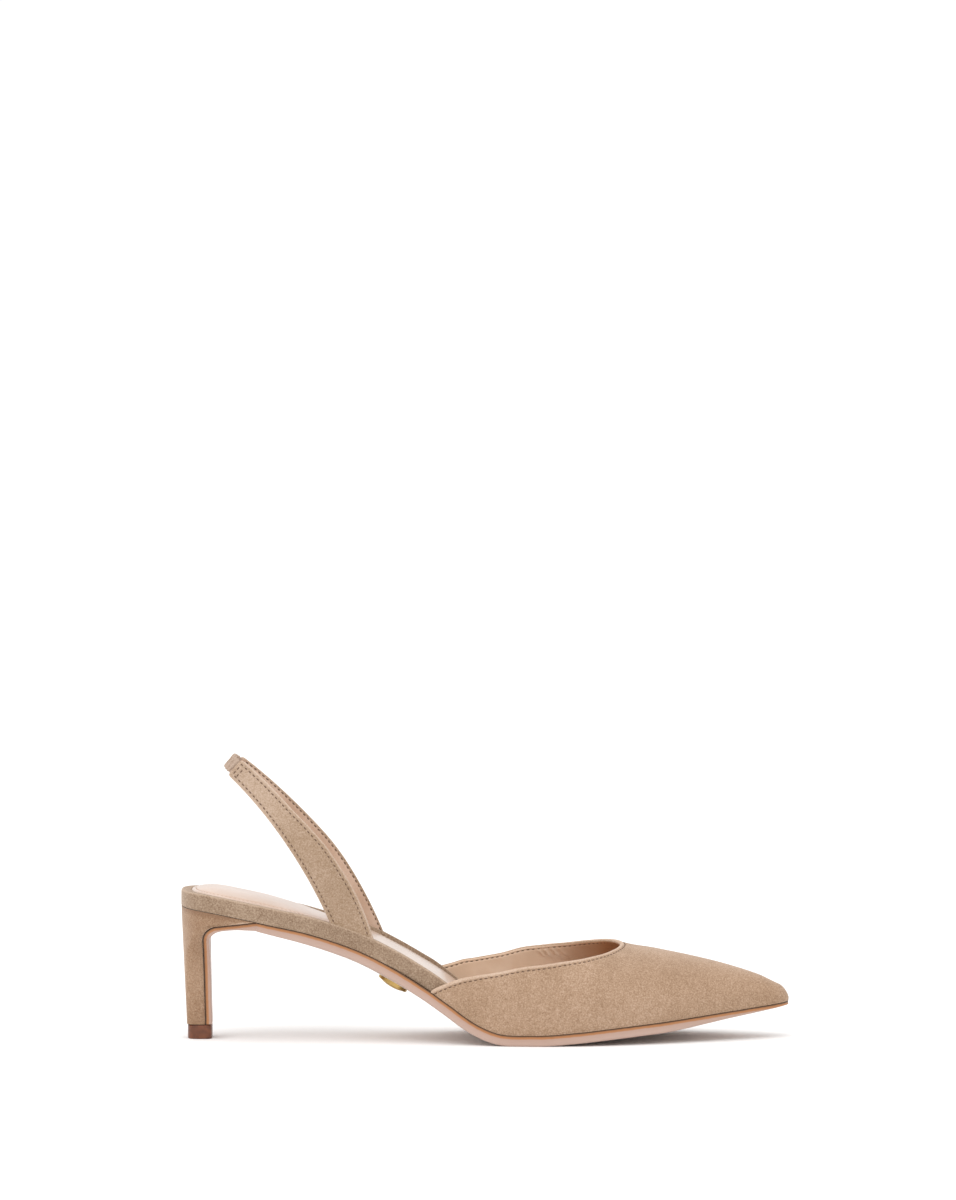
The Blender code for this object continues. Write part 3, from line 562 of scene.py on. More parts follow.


# Dusty beige nap, a little darker on the rim and the heel, palest on the elastic
VAMP_SUEDE = suede("vamp_suede", "90745C", "A78A71", "BB9F89", "CDB6A2", 0.62 * MM)
RIM_SUEDE = suede("rim_suede", "7F6753", "97806B", "AF9883", "C0A996", 0.64 * MM)
HEEL_SUEDE = suede("heel_suede", "866750", "997B62", "AC8F77", "BEA48F", 0.58 * MM, 0.35)
STRAP_SUEDE = suede("strap_suede", "937A61", "A58C76", "B8A08C", "CBB5A3", 0.62 * MM, 0.30)
ELASTIC_SUEDE = suede("elastic_suede", "9C8675", "AE9887", "C0AB9B", "CDBBAC", 0.55 * MM)

# %% [markdown]
# ## Smooth leathers
#
# The lining, the insole and the sole are grain leather: the outer side of the hide, with fine
# pores under a thin wax. The pores are drawn 0.45 mm apart, coarser than they are. The lining is
# left matt and tan, and its colour is painted darker towards the toe: painted shade, for the little
# light that comes back out there. The insole is pale with a soft gloss, and the sole's underside
# is buffed and coloured.

# %% Grain leather
PORE = 0.45 * MM
CLOUD = 14 * MM
SHADE_PAINTED_FROM = 0.022
SHADE_PAINTED_TO = 0.050


def grain_leather(name, deep, even, pale, gloss, coat=0.0, painted_shade_inside=None):
    """Grain leather between three colours: soft clouds of colour, fine pores, its gloss, and painted
    shade deeper inside when a colour for it is given.
    """
    made, tree, shader, place = new_finish(
        name, Roughness=gloss, Specular_IOR_Level=0.45, Coat_Weight=coat, Coat_Roughness=0.3
    )
    clouds = add(tree, "TexNoise", {"Scale": 1 / CLOUD, "Detail": 3.0}, {"Vector": place})
    pores = add(tree, "TexVoronoi", {"Scale": 1 / PORE}, {"Vector": place}, feature="SMOOTH_F1")
    stops = [(0.35, deep), (0.5, even), (0.65, pale)]
    raised = pores.outputs["Distance"]
    colour = cover(tree, shader, clouds.outputs["Fac"], stops, raised, 0.25, 0.06 * MM)
    # Painted shade: the colour is multiplied darker along X, deeper inside the vamp towards the toe
    if painted_shade_inside:
        x = add(tree, "SeparateXYZ", links={"Vector": place}).outputs["X"]
        reach = add(tree, "MapRange", {1: SHADE_PAINTED_FROM, 2: SHADE_PAINTED_TO}, {0: x}).outputs[0]
        stops = [(0.0, "FFFFFF"), (1.0, painted_shade_inside)]
        shade = add(tree, "ValToRGB", links={"Fac": reach}, stops=stops).outputs["Color"]
        dark = add(tree, "VectorMath", links={0: colour, 1: shade}, operation="MULTIPLY")
        tree.links.new(dark.outputs[0], shader.inputs["Base Color"])
    return made


# Warm matt tan inside the vamp and the straps, with painted shade towards the toe inside the vamp, a
# pale satin insole, and a dull nude underside
LINING_LEATHER = grain_leather(
    "lining_leather", "D6B99E", "DDC1A7", "E3CAB2", 0.55, painted_shade_inside="BE9878"
)
STRAP_LINING = grain_leather("strap_lining", "BE9F88", "C6A993", "CDB29E", 0.5)
INSOLE_LEATHER = grain_leather("insole_leather", "C5AC9A", "CAB1A0", "CFB7A7", 0.28, coat=0.45)
SOLE_LEATHER = grain_leather("sole_leather", "AE9485", "B89E8F", "C2AA9C", 0.42)

# %% [markdown]
# ## The sole's edge
#
# The edge of a leather sole is sanded and painted. Here the paint is a nude pink. Above it the
# edge is left as bare tan leather down to 1.2 mm, and its top is painted dark where it meets the
# upper: painted shade in the joint. The pattern follows the piece's own UV map, whose V is the
# depth below the upper in millimetres.

# %% Painted edge with a bare line
MAP_DEPTH = 4.0
RAG = 0.35


def painted_edge():
    """Nude edge paint below a bare tan line with painted shade at its top, by (depth + rag * noise) /
    the depth of the map.
    """
    made, tree, shader, place = new_finish("painted_edge", Roughness=0.38, Specular_IOR_Level=0.5)
    uv = add(tree, "UVMap", uv_map="UVMap").outputs["UV"]
    depth = add(tree, "SeparateXYZ", links={"Vector": uv}).outputs["Y"]
    wander = add(tree, "TexNoise", {"Scale": 1 / (2.5 * MM), "Detail": 3.0}, {"Vector": place})
    wander = wander.outputs["Fac"]
    ragged = add(tree, "Math", {1: RAG}, {0: wander, 2: depth}, operation="MULTIPLY_ADD").outputs[0]
    level = add(tree, "Math", {1: MAP_DEPTH}, {0: ragged}, operation="DIVIDE").outputs[0]
    # The first stops are painted shade, dark brown where the edge meets the upper; then bare tan leather
    shaded_bare_line = [(0.05, "5B402B"), (0.12, "77502F"), (0.18, "A66D3E"), (0.34, "AC764C")]
    cover(tree, shader, level, [*shaded_bare_line, (0.39, "B09181"), (0.9, "BA9E90")], wander, 0.2, 0.1 * MM)
    return made


EDGE_PAINT = painted_edge()

# %% [markdown]
# ## Thread, rubber and brass
#
# The thread is bonded polyester, a little darker than the suede. The heel tip is hard moulded
# rubber. The small disc under the waist is polished brass, which is a metal, so its colour is in
# its reflections.


# %% Thread, rubber and brass
def moulded(name, code, deep, size, gloss, metallic=0.0):
    """A plain moulded or polished surface with faint clouds of a second colour."""
    made, tree, shader, place = new_finish(name, Roughness=gloss, Metallic=metallic)
    clouds = add(tree, "TexNoise", {"Scale": 1 / size, "Detail": 4.0}, {"Vector": place})
    clouds = clouds.outputs["Fac"]
    cover(tree, shader, clouds, [(0.35, deep), (0.6, code)], clouds, 0.15, 0.05 * MM)
    return made


THREAD = moulded("polyester_thread", "6E543F", "5A4231", 0.4 * MM, 0.6)
PALE_THREAD = moulded("pale_thread", "BFA38F", "AE917C", 0.4 * MM, 0.6)
TIP_RUBBER = moulded("tip_rubber", "723F24", "5E331D", 3.0 * MM, 0.42)
STUD_BRASS = moulded("stud_brass", "C9A968", "B5945A", 6.0 * MM, 0.3, 1.0)

# %% [markdown]
# ## The insole rim
#
# The foot stands on a board covered in suede. Behind the vamp it shows as a band 6.9 mm deep, and
# inside the vamp it thins to 3 mm. Its surface runs round the outline of the last and, at each
# place, through a section: under the board, up the wall, over the lip and down into the tray. The
# inner lip stands a little higher along the waist, and the top corner is painted paler: a painted
# highlight, with some wear of the nap.


# %% The outline in plan
def plan(count):
    """The outline from the toe round the heel and back, its inward direction, and its spine.

    The inward direction is square to the outline, and turns to the spine near the toe, where the
    outline is narrower than the lip. The spine is the line down the middle of the board.
    """
    sides = []
    for side in (-1, 1):
        line = np.stack(outline(side), axis=-1)
        length = arc_length(line)
        sides.append(at_lengths(np.linspace(0, length[-1], count), length, line))
    edge = np.concatenate([sides[0][::-1], sides[1][1:]])
    run = unit(np.roll(edge[:-1], -1, axis=0) - np.roll(edge[:-1], 1, axis=0))
    run = np.concatenate([run, run[:1]])
    square = np.stack([run[:, 1], -run[:, 0]], axis=-1)
    x = np.clip((edge[:, 0] + edge[::-1, 0]) / 2, 0.8 * SEAT_ROUND, SHOE_LENGTH - 3 * TOE_ROUND)
    spine = np.stack([x, centre_line(x / SHOE_LENGTH)], axis=-1)
    near_toe = ease(edge[:, :1] / SHOE_LENGTH, 0.90, 0.94)
    inward = unit(square * (1 - near_toe) + unit(spine - edge) * near_toe)
    return edge, inward, spine


EDGE, INWARD, SPINE = plan(300)
print("outline points:", len(EDGE))


def to_spine(start, shares):
    """Points from a column of places in plan to the spine."""
    shares = np.asarray(shares)[None, :, None]
    return start[:, None] * (1 - shares) + SPINE[:, None] * shares


# %% Heights of the board
def bottom_thickness(along):
    """Thickness of the covered board square to its face."""
    return RIM_THICKNESS + (BOARD_THICKNESS - RIM_THICKNESS) * ease(along, *THINS)


def board_top(along):
    """Height of the covered board's upper face."""
    return feather_height(along) + bottom_thickness(along) * slant(along)


def board_inset(along):
    """The rim is flush with the sole, and draws in to pass inside the vamp's wall."""
    return (UPPER_WALL + CLEARANCE) * ease(along, *TUCKS)


# %% The rim's wall and lip
RIM_WALL = table(
    "inset up",
    (0.060, 0.00), (0.022, 0.015), (0.005, 0.05), (0.000, 0.12), (0.000, 0.40), (0.000, 0.72),
    (0.004, 0.83), (0.018, 0.905), (0.046, 0.955), (0.088, 0.985), (0.150, 1.00),
)
BOARD_COLUMNS = 5  # columns of the grid under the board, and again in the tray
GROOVE = 0.0001
INNER_LIP_RISE = 0.0009
CORNER_HIGHLIGHT_AND_WEAR = 0.0009


def rim_points():
    """The rim: board, wall, lip, groove and tray, round the whole outline.

    Each point lies at up, a share of the board's thickness, less down, a share of the tray's depth.
    """
    along = EDGE[:, :1] / SHOE_LENGTH
    wall_inset, wall_up = smooth_rows(RIM_WALL, 30)
    wall = wall_inset * bottom_thickness(along) + board_inset(along)
    lip = np.linspace(0, 1, 12)[1:]
    across = wall[:, -1:] + (RIM_LIP + CLEARANCE - wall[:, -1:]) * lip
    inset = np.concatenate([wall, across, across[:, -1:] + GROOVE], axis=1)
    near = EDGE[:, None] + INWARD[:, None] * inset[..., None]
    steps = np.linspace(0, 1, BOARD_COLUMNS + 1)
    below = to_spine(near[:, 0], steps[:0:-1])
    above = to_spine(near[:, -1], steps[1:])
    flat = np.concatenate([below, near, above], axis=1)
    share = np.clip(flat[..., 0] / SHOE_LENGTH, 0, 1)
    fall = 0.4 * ease(lip, 0.75, 1.25)
    fall[-1] = 1.0
    up = np.concatenate([np.zeros(BOARD_COLUMNS), wall_up, np.ones(len(lip) + 1 + BOARD_COLUMNS)])
    down = np.concatenate([np.zeros(BOARD_COLUMNS + len(wall_up)), fall, np.ones(1 + BOARD_COLUMNS)])
    low = feather_height(share)
    z = low + (board_top(share) - low) * up - TRAY_DEPTH * slant(share) * down
    inner_side = np.arange(len(EDGE))[:, None] > len(EDGE) // 2
    waist = ease(share, 0.22, 0.31) * (1 - ease(share, 0.41, 0.46))
    z = z + INNER_LIP_RISE * waist * inner_side * up * (1 - down)
    # The top corner of the wall is painted paler: a painted highlight, with some wear of the nap
    painted_light_and_wear = 0.55 * hump(inset, board_inset(along), CORNER_HIGHLIGHT_AND_WEAR)
    painted_light_and_wear = np.pad(painted_light_and_wear, ((0, 0), (BOARD_COLUMNS, BOARD_COLUMNS))) * ease(up, 0.88, 0.98) * (1 - down)
    return np.concatenate([flat, z[..., None]], axis=-1), painted_light_and_wear


rim_grid, rim_wear_and_highlight = rim_points()
rim = grid_mesh(rim_grid, wear_and_light_level=rim_wear_and_highlight)
dress("insole_rim_suede", rim, [RIM_SUEDE], "insole_rim")

# %% [markdown]
# ## The padded insole
#
# The insole is thin pale leather over foam, pressed into the tray. Its edge is rounded, a row of
# pale stitches runs close to it, and the foam swells inside them. It is thickest under the heel,
# and lies nearly flat along the waist.


# %% The insole
STITCH_FROM_EDGE = 0.0018
STITCH_PRESS = 0.0003
HEEL_CUSHION = 0.0025
EDGE_ROUND = 0.0009
LIES_FLATTER = 0.8


def insole_points():
    """The insole round the outline: a rounded edge, a pressed line, and a crown of foam.

    The crown is 1 - (1 - s)^3, where s runs from the edge to the spine.
    """
    rim = EDGE + INWARD * RIM_LIP
    reach = np.linalg.norm(SPINE - rim, axis=1, keepdims=True)
    step = np.concatenate([np.linspace(0, 1, 10) ** 2 * 0.001, np.linspace(0.0012, 0.0040, 14)])
    step = np.minimum(step[None, :], reach * 0.5)
    near = rim[:, None] + INWARD[:, None] * step[..., None]
    above = to_spine(near[:, -1], crowded(26, 1.3)[1:])
    below = to_spine(near[:, 0], [1.0, 0.5, 0.0])
    flat = np.concatenate([below, near, above], axis=1)
    along = np.clip(flat[..., 0] / SHOE_LENGTH, 0, 1)
    onward = step[:, -1:] + np.linalg.norm(above - near[:, -1:], axis=-1)
    away = np.concatenate([step, onward], axis=1)
    inner = along[:, below.shape[1] :]
    padded = 1 - ease(inner, *SOFTENS) * (1 - FORE_PADDING)
    narrow = np.clip(4 * reach / SEAT_WIDTH, 0, 1)
    crown = 1 - (1 - np.clip(away / reach, 0, 1)) ** 3
    rise = rounded(away, EDGE_ROUND, 2.0) * INSOLE_EDGE + HEEL_CUSHION * padded * narrow * crown
    rise = rise - STITCH_PRESS * hump(away, STITCH_FROM_EDGE, 0.0004)
    rise = rise * (1 - LIES_FLATTER * ease(inner, 0.13, 0.26) * (1 - ease(inner, 0.50, 0.60)))
    rise = np.pad(rise, ((0, 0), (below.shape[1], 0)))
    z = board_top(along) - TRAY_DEPTH * slant(along) + CLEARANCE + rise * slant(along)
    return np.concatenate([flat, z[..., None]], axis=-1)


insole_grid = insole_points()
insole = dress(
    "insole_leather", grid_mesh(insole_grid), [INSOLE_LEATHER], "insole"
)

# %% [markdown]
# ## The sole leather
#
# The sole follows the last from the toe to the front of the heel and then turns down the heel's
# breast as a thin flap. Its surface is a section carried along that line: two painted edges and
# the buffed underside between them, which bulges a little at the waist.


# %% The line of the sole in side view
def fillet(corner, before, after, radius, steps):
    """Points of the arc that rounds a corner between two straight lines."""
    back = unit(before - corner)
    on = unit(after - corner)
    half = np.arccos(np.clip(back @ on, -1, 1)) / 2
    centre = corner + unit(back + on) * radius / np.sin(half)
    start = corner + back * radius / np.tan(half) - centre
    end = corner + on * radius / np.tan(half) - centre
    turn = np.arccos(np.clip(start @ end / radius**2, -1, 1))
    share = np.linspace(0, 1, steps)[:, None]
    return centre + (np.sin((1 - share) * turn) * start + np.sin(share * turn) * end) / np.sin(turn)


def sole_line():
    """Upper face of the sole leather in side view, from the toe, under the waist, down the breast."""
    toe = SHOE_LENGTH - SOLE_INSET
    seat_front = SEAT_FRONT * SHOE_LENGTH
    x = toe - (toe - seat_front) * (1 - np.cos(np.pi / 2 * np.linspace(0, 1, 260))) ** 0.75
    front = np.stack([x, feather_height(x / SHOE_LENGTH) - CLEARANCE], axis=-1)
    lip = np.array([seat_front, feather_height(SEAT_FRONT) - CLEARANCE])
    corner = np.array([HEEL_DEPTH, lip[1] - SEAT_UNDERSIDE_SLOPE * (seat_front - HEEL_DEPTH)])
    foot = np.array([HEEL_DEPTH + HEEL_FOOT_REACH, TIP_HEIGHT + CLEARANCE])
    arc = fillet(corner, lip, foot, BREAST_RADIUS, 30)
    under_lip = np.linspace(lip, arc[0], 24, endpoint=False)
    down = np.linspace(arc[-1], foot, 50)[1:]
    return np.concatenate([front[front[:, 0] > seat_front + SOLE_INSET], under_lip, arc, down])


def sole_normals(line):
    """Unit vectors out of the sole leather's lower face, square to its line."""
    run = unit(np.gradient(line, axis=0))
    return np.stack([-run[:, 1], run[:, 0]], axis=-1)


def heel_half(height):
    """Half width of the heel at a height over the floor."""
    return from_table(HEEL, "half", height / HEEL_HEIGHT) * SEAT_WIDTH / 2


def heel_back(height):
    """X of the heel's back line at a height."""
    return HEEL_RAKE * (1 - height / HEEL_HEIGHT)


HOLD = 30


def under_seat(y, x, z):
    """Half widths y of the heel, held within the outline of the seat.

    They become y / (1 + (y / limit)^HOLD)^(1 / HOLD), which turns to the limit without a corner.
    """
    limit = half_width((x - np.maximum(heel_back(z), 0.0)) / SHOE_LENGTH, y)
    return y / (1 + (np.abs(y) / np.maximum(limit, 1e-6)) ** HOLD) ** (1 / HOLD)


LINE = sole_line()
NORMALS = sole_normals(LINE)

# %% The sole's surface
SEAM_GAP = 0.00018
CLOSING = CLEARANCE - SEAM_GAP
SOLE_WALL = table(
    "inset up",
    (0.030, 0.00), (0.006, 0.03), (0.000, 0.08), (0.000, 0.30), (0.000, 0.50), (0.010, 0.66),
    (0.030, 0.78), (0.070, 0.89), (0.130, 0.96), (0.200, 1.00),
)


def sole_points():
    """The sole, the place of each point on the map of its edge, and which faces are underside.

    For each place on its line, a depth d and a width y give the point (x + nx d, y, z + nz d).
    """
    x = LINE[:, :1]
    z = LINE[:, 1:]
    seat_front = SEAT_FRONT * SHOE_LENGTH
    under_heel = x <= seat_front
    edges = []
    for side in (-1, 1):
        edge = side * inset_edge(x, side, SOLE_INSET)
        breast = side * under_seat(side * heel_half(z), x, z) - SOLE_INSET
        edges.append(side * np.where(under_heel, np.minimum(edge, breast), edge))
    outer, inner = edges
    reach = np.clip((x - HEEL_DEPTH) / (seat_front - HEEL_DEPTH), 0, 1)
    flap = FLAP_THICKNESS * from_table(FLAP, "share", reach)
    leather = SOLE_THICKNESS * from_table(LEATHER, "share", x / SHOE_LENGTH)
    thick = np.where(under_heel, flap, leather)
    crown = SOLE_CROWN * from_table(LEATHER, "crown", x / SHOE_LENGTH) * np.where(under_heel, reach, 1)
    inset, depth = smooth_rows(SOLE_WALL, 26)
    inset = inset * thick * np.minimum(1.0, (inner - outer) / (2 * SOLE_THICKNESS))
    left = outer + inset
    right = inner - inset
    share = np.linspace(0, 1, 30)[1:-1]
    lower = left[:, -1:] + (right - left)[:, -1:] * share
    upper = right[:, :1] + (left - right)[:, :1] * np.linspace(0, 1, 6)[1:]
    y = np.concatenate([left, lower, right[:, ::-1], upper], axis=1)
    walls = depth * (thick + CLOSING) - CLOSING
    bulge = thick + crown * 4 * share * (1 - share)
    d = np.concatenate([walls, bulge, walls[:, ::-1], upper * 0 - CLOSING], axis=1)
    points = np.stack([x + NORMALS[:, :1] * d, y, z + NORMALS[:, 1:] * d], axis=-1)
    points = np.concatenate([pole(points[0]), points, pole(points[-1])])
    part = np.zeros(points.shape[1] - 1)
    part[len(depth) - 1 : len(depth) + len(share)] = 1
    map_depth = np.concatenate([d[:1], d, d[-1:]]) + CLOSING
    travel = np.broadcast_to(arc_length(points[:, 0])[:, None], map_depth.shape)
    return points, np.stack([travel, map_depth], axis=-1) / MM, part


sole_grid, sole_uv, sole_part = sole_points()
sole = grid_mesh(sole_grid, sole_uv, sole_part, sharp=75)
dress("sole_leather", sole, [EDGE_PAINT, SOLE_LEATHER], "outsole")

# %% [markdown]
# ## The heel
#
# The heel is a block of plastic wrapped in suede: slim at the floor, and flared at the top to the
# full width of the seat. Its level sections are superellipses, rounder behind than before, and are
# held inside the outline of the seat. Each column of the grid is cut where it meets the underside
# of the seat, so the top edge is clean. Just under that edge a thin dark line of painted shade
# runs along the seam, and below it lies a pale band of painted highlight.


# %% Level sections
def level_ring(height, back, front, half, back_square, front_square, count):
    """A level section: a superellipse that has its own squareness before and behind its middle."""
    middle = np.maximum(front - HEEL_FRONT_ROUND, back + (front - back) * HEEL_MIDDLE)
    turn = 2 * np.pi * np.linspace(0, 1, count)
    c = np.cos(turn)
    s = np.sin(turn)
    power = np.where(c > 0, 2 / front_square, 2 / back_square)
    reach = np.where(c > 0, front - middle, middle - back)
    x = middle + np.sign(c) * np.abs(c) ** power * reach
    y = np.sign(s) * np.abs(s) ** power * half
    return np.stack([x, y, np.broadcast_to(height, x.shape)], axis=-1)


HEEL_FLARE = 0.1
FLARES = (0.87, 0.93)


def heel_points(rows, count):
    """The heel: level sections from the tip to above the seat, each column cut at the seat."""
    clear = LINE - NORMALS * CLEARANCE
    rear = clear[LINE[:, 0] <= SEAT_FRONT * SHOE_LENGTH]
    rear = rear[np.argsort(rear[:, 1])]
    low = TIP_HEIGHT + CLEARANCE
    height = low + (feather_height(SEAT_FRONT) - low) * crowded(500, 2)
    height = np.append(height, HEEL_HEIGHT + SOLE_THICKNESS)[:, None]
    breast = np.interp(height, rear[:, 1], rear[:, 0])
    forward = np.minimum(breast, SEAT_FRONT * SHOE_LENGTH - HEEL_LIP_BLUNT)
    square = from_table(HEEL, "square", height / HEEL_HEIGHT)
    back = np.maximum(heel_back(height), 0.0)
    rings = level_ring(height, back, forward, heel_half(height), square, HEEL_FRONT_POWER, count)
    seat = feather_height(np.clip(rings[..., 0], 0, None) / SHOE_LENGTH) - SEAM_GAP
    over = rings[..., 2] - seat
    first = np.argmax(over > 0, axis=0)
    columns = np.arange(count)
    under = over[first - 1, columns]
    meets = first - 1 - under / (over[first, columns] - under)
    place = meets * crowded(rows, 1.5)[:, None]
    i = np.minimum(place.astype(int), len(rings) - 2)
    t = (place - i)[..., None]
    body = rings[i, columns] * (1 - t) + rings[i + 1, columns] * t
    flared = body[..., 1] * (1 + HEEL_FLARE * ease(body[..., 2] / HEEL_HEIGHT, *FLARES))
    body[..., 1] = under_seat(flared, body[..., 0], body[..., 2])
    foot = pole(body[0])
    tucked = body[:1] * 0.94 + foot * 0.06
    below = body[-1, :, 2] - body[..., 2]
    # Painted shade: a thin dark line along the seam under the seat; painted highlight: a pale band just
    # below it
    painted_light_and_wear = 0.8 * hump(below, 0.9 * MM, 0.5 * MM) - 0.5 * hump(below, 0, 0.3 * MM)
    grid = np.concatenate([foot, tucked, body, body[-1:] * [1, 0, 1]])
    return grid, np.pad(painted_light_and_wear, ((2, 1), (0, 0)))


heel_grid, heel_highlight_and_shade = heel_points(150, 241)
heel = grid_mesh(heel_grid, wear_and_light_level=heel_highlight_and_shade, sharp=50)
dress("heel_suede", heel, [HEEL_SUEDE], "heel")


# %% The heel tip
def tip_points(count):
    """The top piece: a straight block with a small bevel above and below."""
    back = heel_back(TIP_HEIGHT) + TIP_STEP
    front = HEEL_DEPTH + HEEL_FOOT_REACH + FLAP_THICKNESS
    half = heel_half(TIP_HEIGHT + CLEARANCE)
    turn = np.linspace(0, np.pi / 2, 7)
    bevel = TIP_STEP * (1 - np.sin(turn))
    low = TIP_STEP * (1 - np.cos(turn))
    inset = np.concatenate([[TIP_STEP * 3], bevel, bevel[::-1]])[:, None]
    height = np.concatenate([[0], low, TIP_HEIGHT - low[::-1]])[:, None]
    squares = (TIP_BACK_POWER, TIP_FRONT_POWER)
    rings = level_ring(height, back + inset, front - inset, half - inset, *squares, count)
    return np.concatenate([pole(rings[0]), rings, pole(rings[-1])])


dress("heel_tip_rubber", grid_mesh(tip_points(161)), [TIP_RUBBER], "heel_tip")

# %% [markdown]
# ## The vamp
#
# The vamp is suede outside and kid lining inside, folded over at the top line. Its grid runs from
# the toe back over the outer face to the fold, round the fold, and forward again on the inside.
# Columns stand closer by the fold, where the stitching presses a narrow channel into the suede.

# %% Rows, from the outer feather line over the ridge to the inner one
FOLD_RADIUS = UPPER_WALL / 2
SMOOTHED_OVER = 0.014


def top_line_along(girth):
    """Place along the shoe of the top line at a share of the girth: a mean of near places.

    Past an end of its table the line goes on as its own mirror image through that end.
    """
    spread = np.linspace(-1, 1, 9)
    weight = np.cos(spread * np.pi / 2) ** 2
    near = np.asarray(girth)[..., None] + SMOOTHED_OVER * spread
    end = np.clip(near, 0, 1)
    along = 2 * from_table(TOP_LINE, "along", end) - from_table(TOP_LINE, "along", 2 * end - near)
    return (along * weight).sum(axis=-1) / weight.sum()


def vamp_rows(count):
    """Shares of the girth, evenly spaced along the top line, with more beside the sole."""
    fine = np.linspace(0, 1, FINE)
    length = arc_length(last_surface(top_line_along(fine), fine))
    girth = np.interp(np.linspace(0, 1, count), length / length[-1], fine)
    close = np.array([0.0003, 0.0008, 0.0015, 0.0025])
    return np.unique(np.concatenate([girth, close, 1 - close]))


def below_top_line(girth, start):
    """The direction into the vamp from its top line, and the share of the shoe in a metre of it."""
    small = 1e-3
    edge = last_surface(start, girth)
    onward = (last_surface(start + small, girth) - edge) / small
    into = np.cross(unit(np.gradient(edge, axis=0)), last_normal(start, girth))
    into = into * np.sign((into * onward).sum(axis=1, keepdims=True))
    print("top line, mm:", round(float(arc_length(edge)[-1]) / MM, 1))
    return into, 1 / np.maximum((into * onward).sum(axis=1), 0.3 * SHOE_LENGTH)


GIRTH = vamp_rows(230)
START = top_line_along(GIRTH)
INTO, PER_METRE = below_top_line(GIRTH, START)


# %% Soft creases
def crease(points, start, end, width, depth):
    """Depth of a soft trough beside a line in side view: depth * exp(-(distance / width)^2)."""
    start = np.array(start)
    end = np.array(end)
    flat = points[..., [0, 2]] - start
    share = np.clip((flat @ (end - start)) / ((end - start) @ (end - start)), 0, 1)
    away = np.linalg.norm(flat - share[..., None] * (end - start), axis=-1)
    return depth * hump(away, 0, width) * np.sin(np.pi * np.clip(share, 0.08, 0.92)) ** 0.5


# X and height of both ends in side view, from the back of the seat, then width and depth
LINING_CREASES = [
    ((0.1490, 0.0340), (0.1535, 0.0285), 0.0006, 0.00060),
    ((0.1515, 0.0350), (0.1575, 0.0280), 0.0005, 0.00055),
    ((0.1465, 0.0335), (0.1500, 0.0300), 0.0005, 0.00040),
    ((0.1560, 0.0335), (0.1600, 0.0290), 0.0006, 0.00045),
    ((0.1250, 0.0250), (0.1340, 0.0205), 0.0016, 0.00025),
]

# %% The vamp's surface
STITCH_DEPTH = 0.0019
LINING_STITCH_DEPTH = 0.0013
CHANNEL = 0.00030
LINING_CHANNEL = 0.00026
BEAD = 0.00012
TURNED_IN = 0.00045


def vamp_points():
    """Outer face, fold and inner face of the vamp, which faces are lining, and the painted highlight
    along the fold.
    """
    near = np.linspace(0, 0.0042, 18)
    far = crowded(92, 1.5)[1:]
    fold_start = (START + FOLD_RADIUS * PER_METRE)[:, None]
    first = fold_start + near * PER_METRE[:, None]
    along = np.concatenate([first, first[:, -1:] + (UPPER_FRONT - first[:, -1:]) * far], axis=1)
    girth = np.repeat(GIRTH[:, None], along.shape[1], axis=1)
    face = last_surface(along, girth)
    normal = last_normal(along, girth)
    depth = FOLD_RADIUS + (along - fold_start) / PER_METRE[:, None]
    channel = CHANNEL * hump(depth, STITCH_DEPTH, 0.00042)
    inner_channel = LINING_CHANNEL * hump(depth, LINING_STITCH_DEPTH, 0.00034)
    bead = BEAD * hump(depth, 0.0009, 0.0006)
    turned_in = TURNED_IN * (1 - ease(face[..., 2] - feather_height(along), 0, 0.0012))
    outer = face + normal * (bead - channel - turned_in)[..., None]
    inner = face - normal * (UPPER_WALL - inner_channel)[..., None]
    far_side = ease(face[..., 1] + BACK[1], 0, 0.004)
    for one in LINING_CREASES:
        inner = inner - normal * (crease(inner, *one) * far_side)[..., None]
    turn = np.linspace(0, np.pi, 13)[1:-1, None]
    middle = (outer[:, :1] + inner[:, :1]) / 2
    radius = np.linalg.norm(outer[:, :1] - inner[:, :1], axis=-1, keepdims=True) / 2
    fold = middle + radius * (np.cos(turn) * normal[:, :1] - np.sin(turn) * INTO[:, None])
    poles = []
    for side in (outer, inner):
        tip = (side[0, -1] + side[-1, -1]) / 2 + np.array([CLEARANCE, 0, -SEAM_GAP])
        poles.append(np.broadcast_to(tip, side[:, :1].shape))
    grid = np.concatenate([poles[0], outer[:, ::-1], fold, inner, poles[1]], axis=1)
    closing = (grid[[0, -1]] + grid[[0, -1], ::-1]) / 2
    grid = np.concatenate([closing[:1], grid, closing[1:]])
    fold_at = outer.shape[1] + 1
    part = np.zeros(grid.shape[1] - 1)
    part[fold_at + len(turn) - 3 :] = 1
    # A painted highlight along the folded top line: paler on the fold and just below it on the outer
    # face
    wear_and_light_level = np.zeros(grid.shape[1])
    wear_and_light_level[fold_at - len(near) : fold_at] = hump(near, 0, 0.0005)[::-1]
    wear_and_light_level[fold_at : fold_at + len(turn)] = ease(2 - turn[:, 0] / np.pi * 2.6)
    return grid, part, wear_and_light_level * 0.6


vamp_grid, vamp_part, vamp_fold_highlight = vamp_points()
vamp = grid_mesh(vamp_grid, part=vamp_part, wear_and_light_level=vamp_fold_highlight)
dress("vamp_suede", vamp, [VAMP_SUEDE, LINING_LEATHER], "upper")

# %% [markdown]
# ## Stitches
#
# A seam on suede is a row of short threads, each one pulled into the leather at its ends. One
# stitch is a small rounded tube with a few faces. It is repeated along a path by array arithmetic,
# so a whole seam is one mesh.


# %% A row of stitches
STITCH_SINK = 0.00026


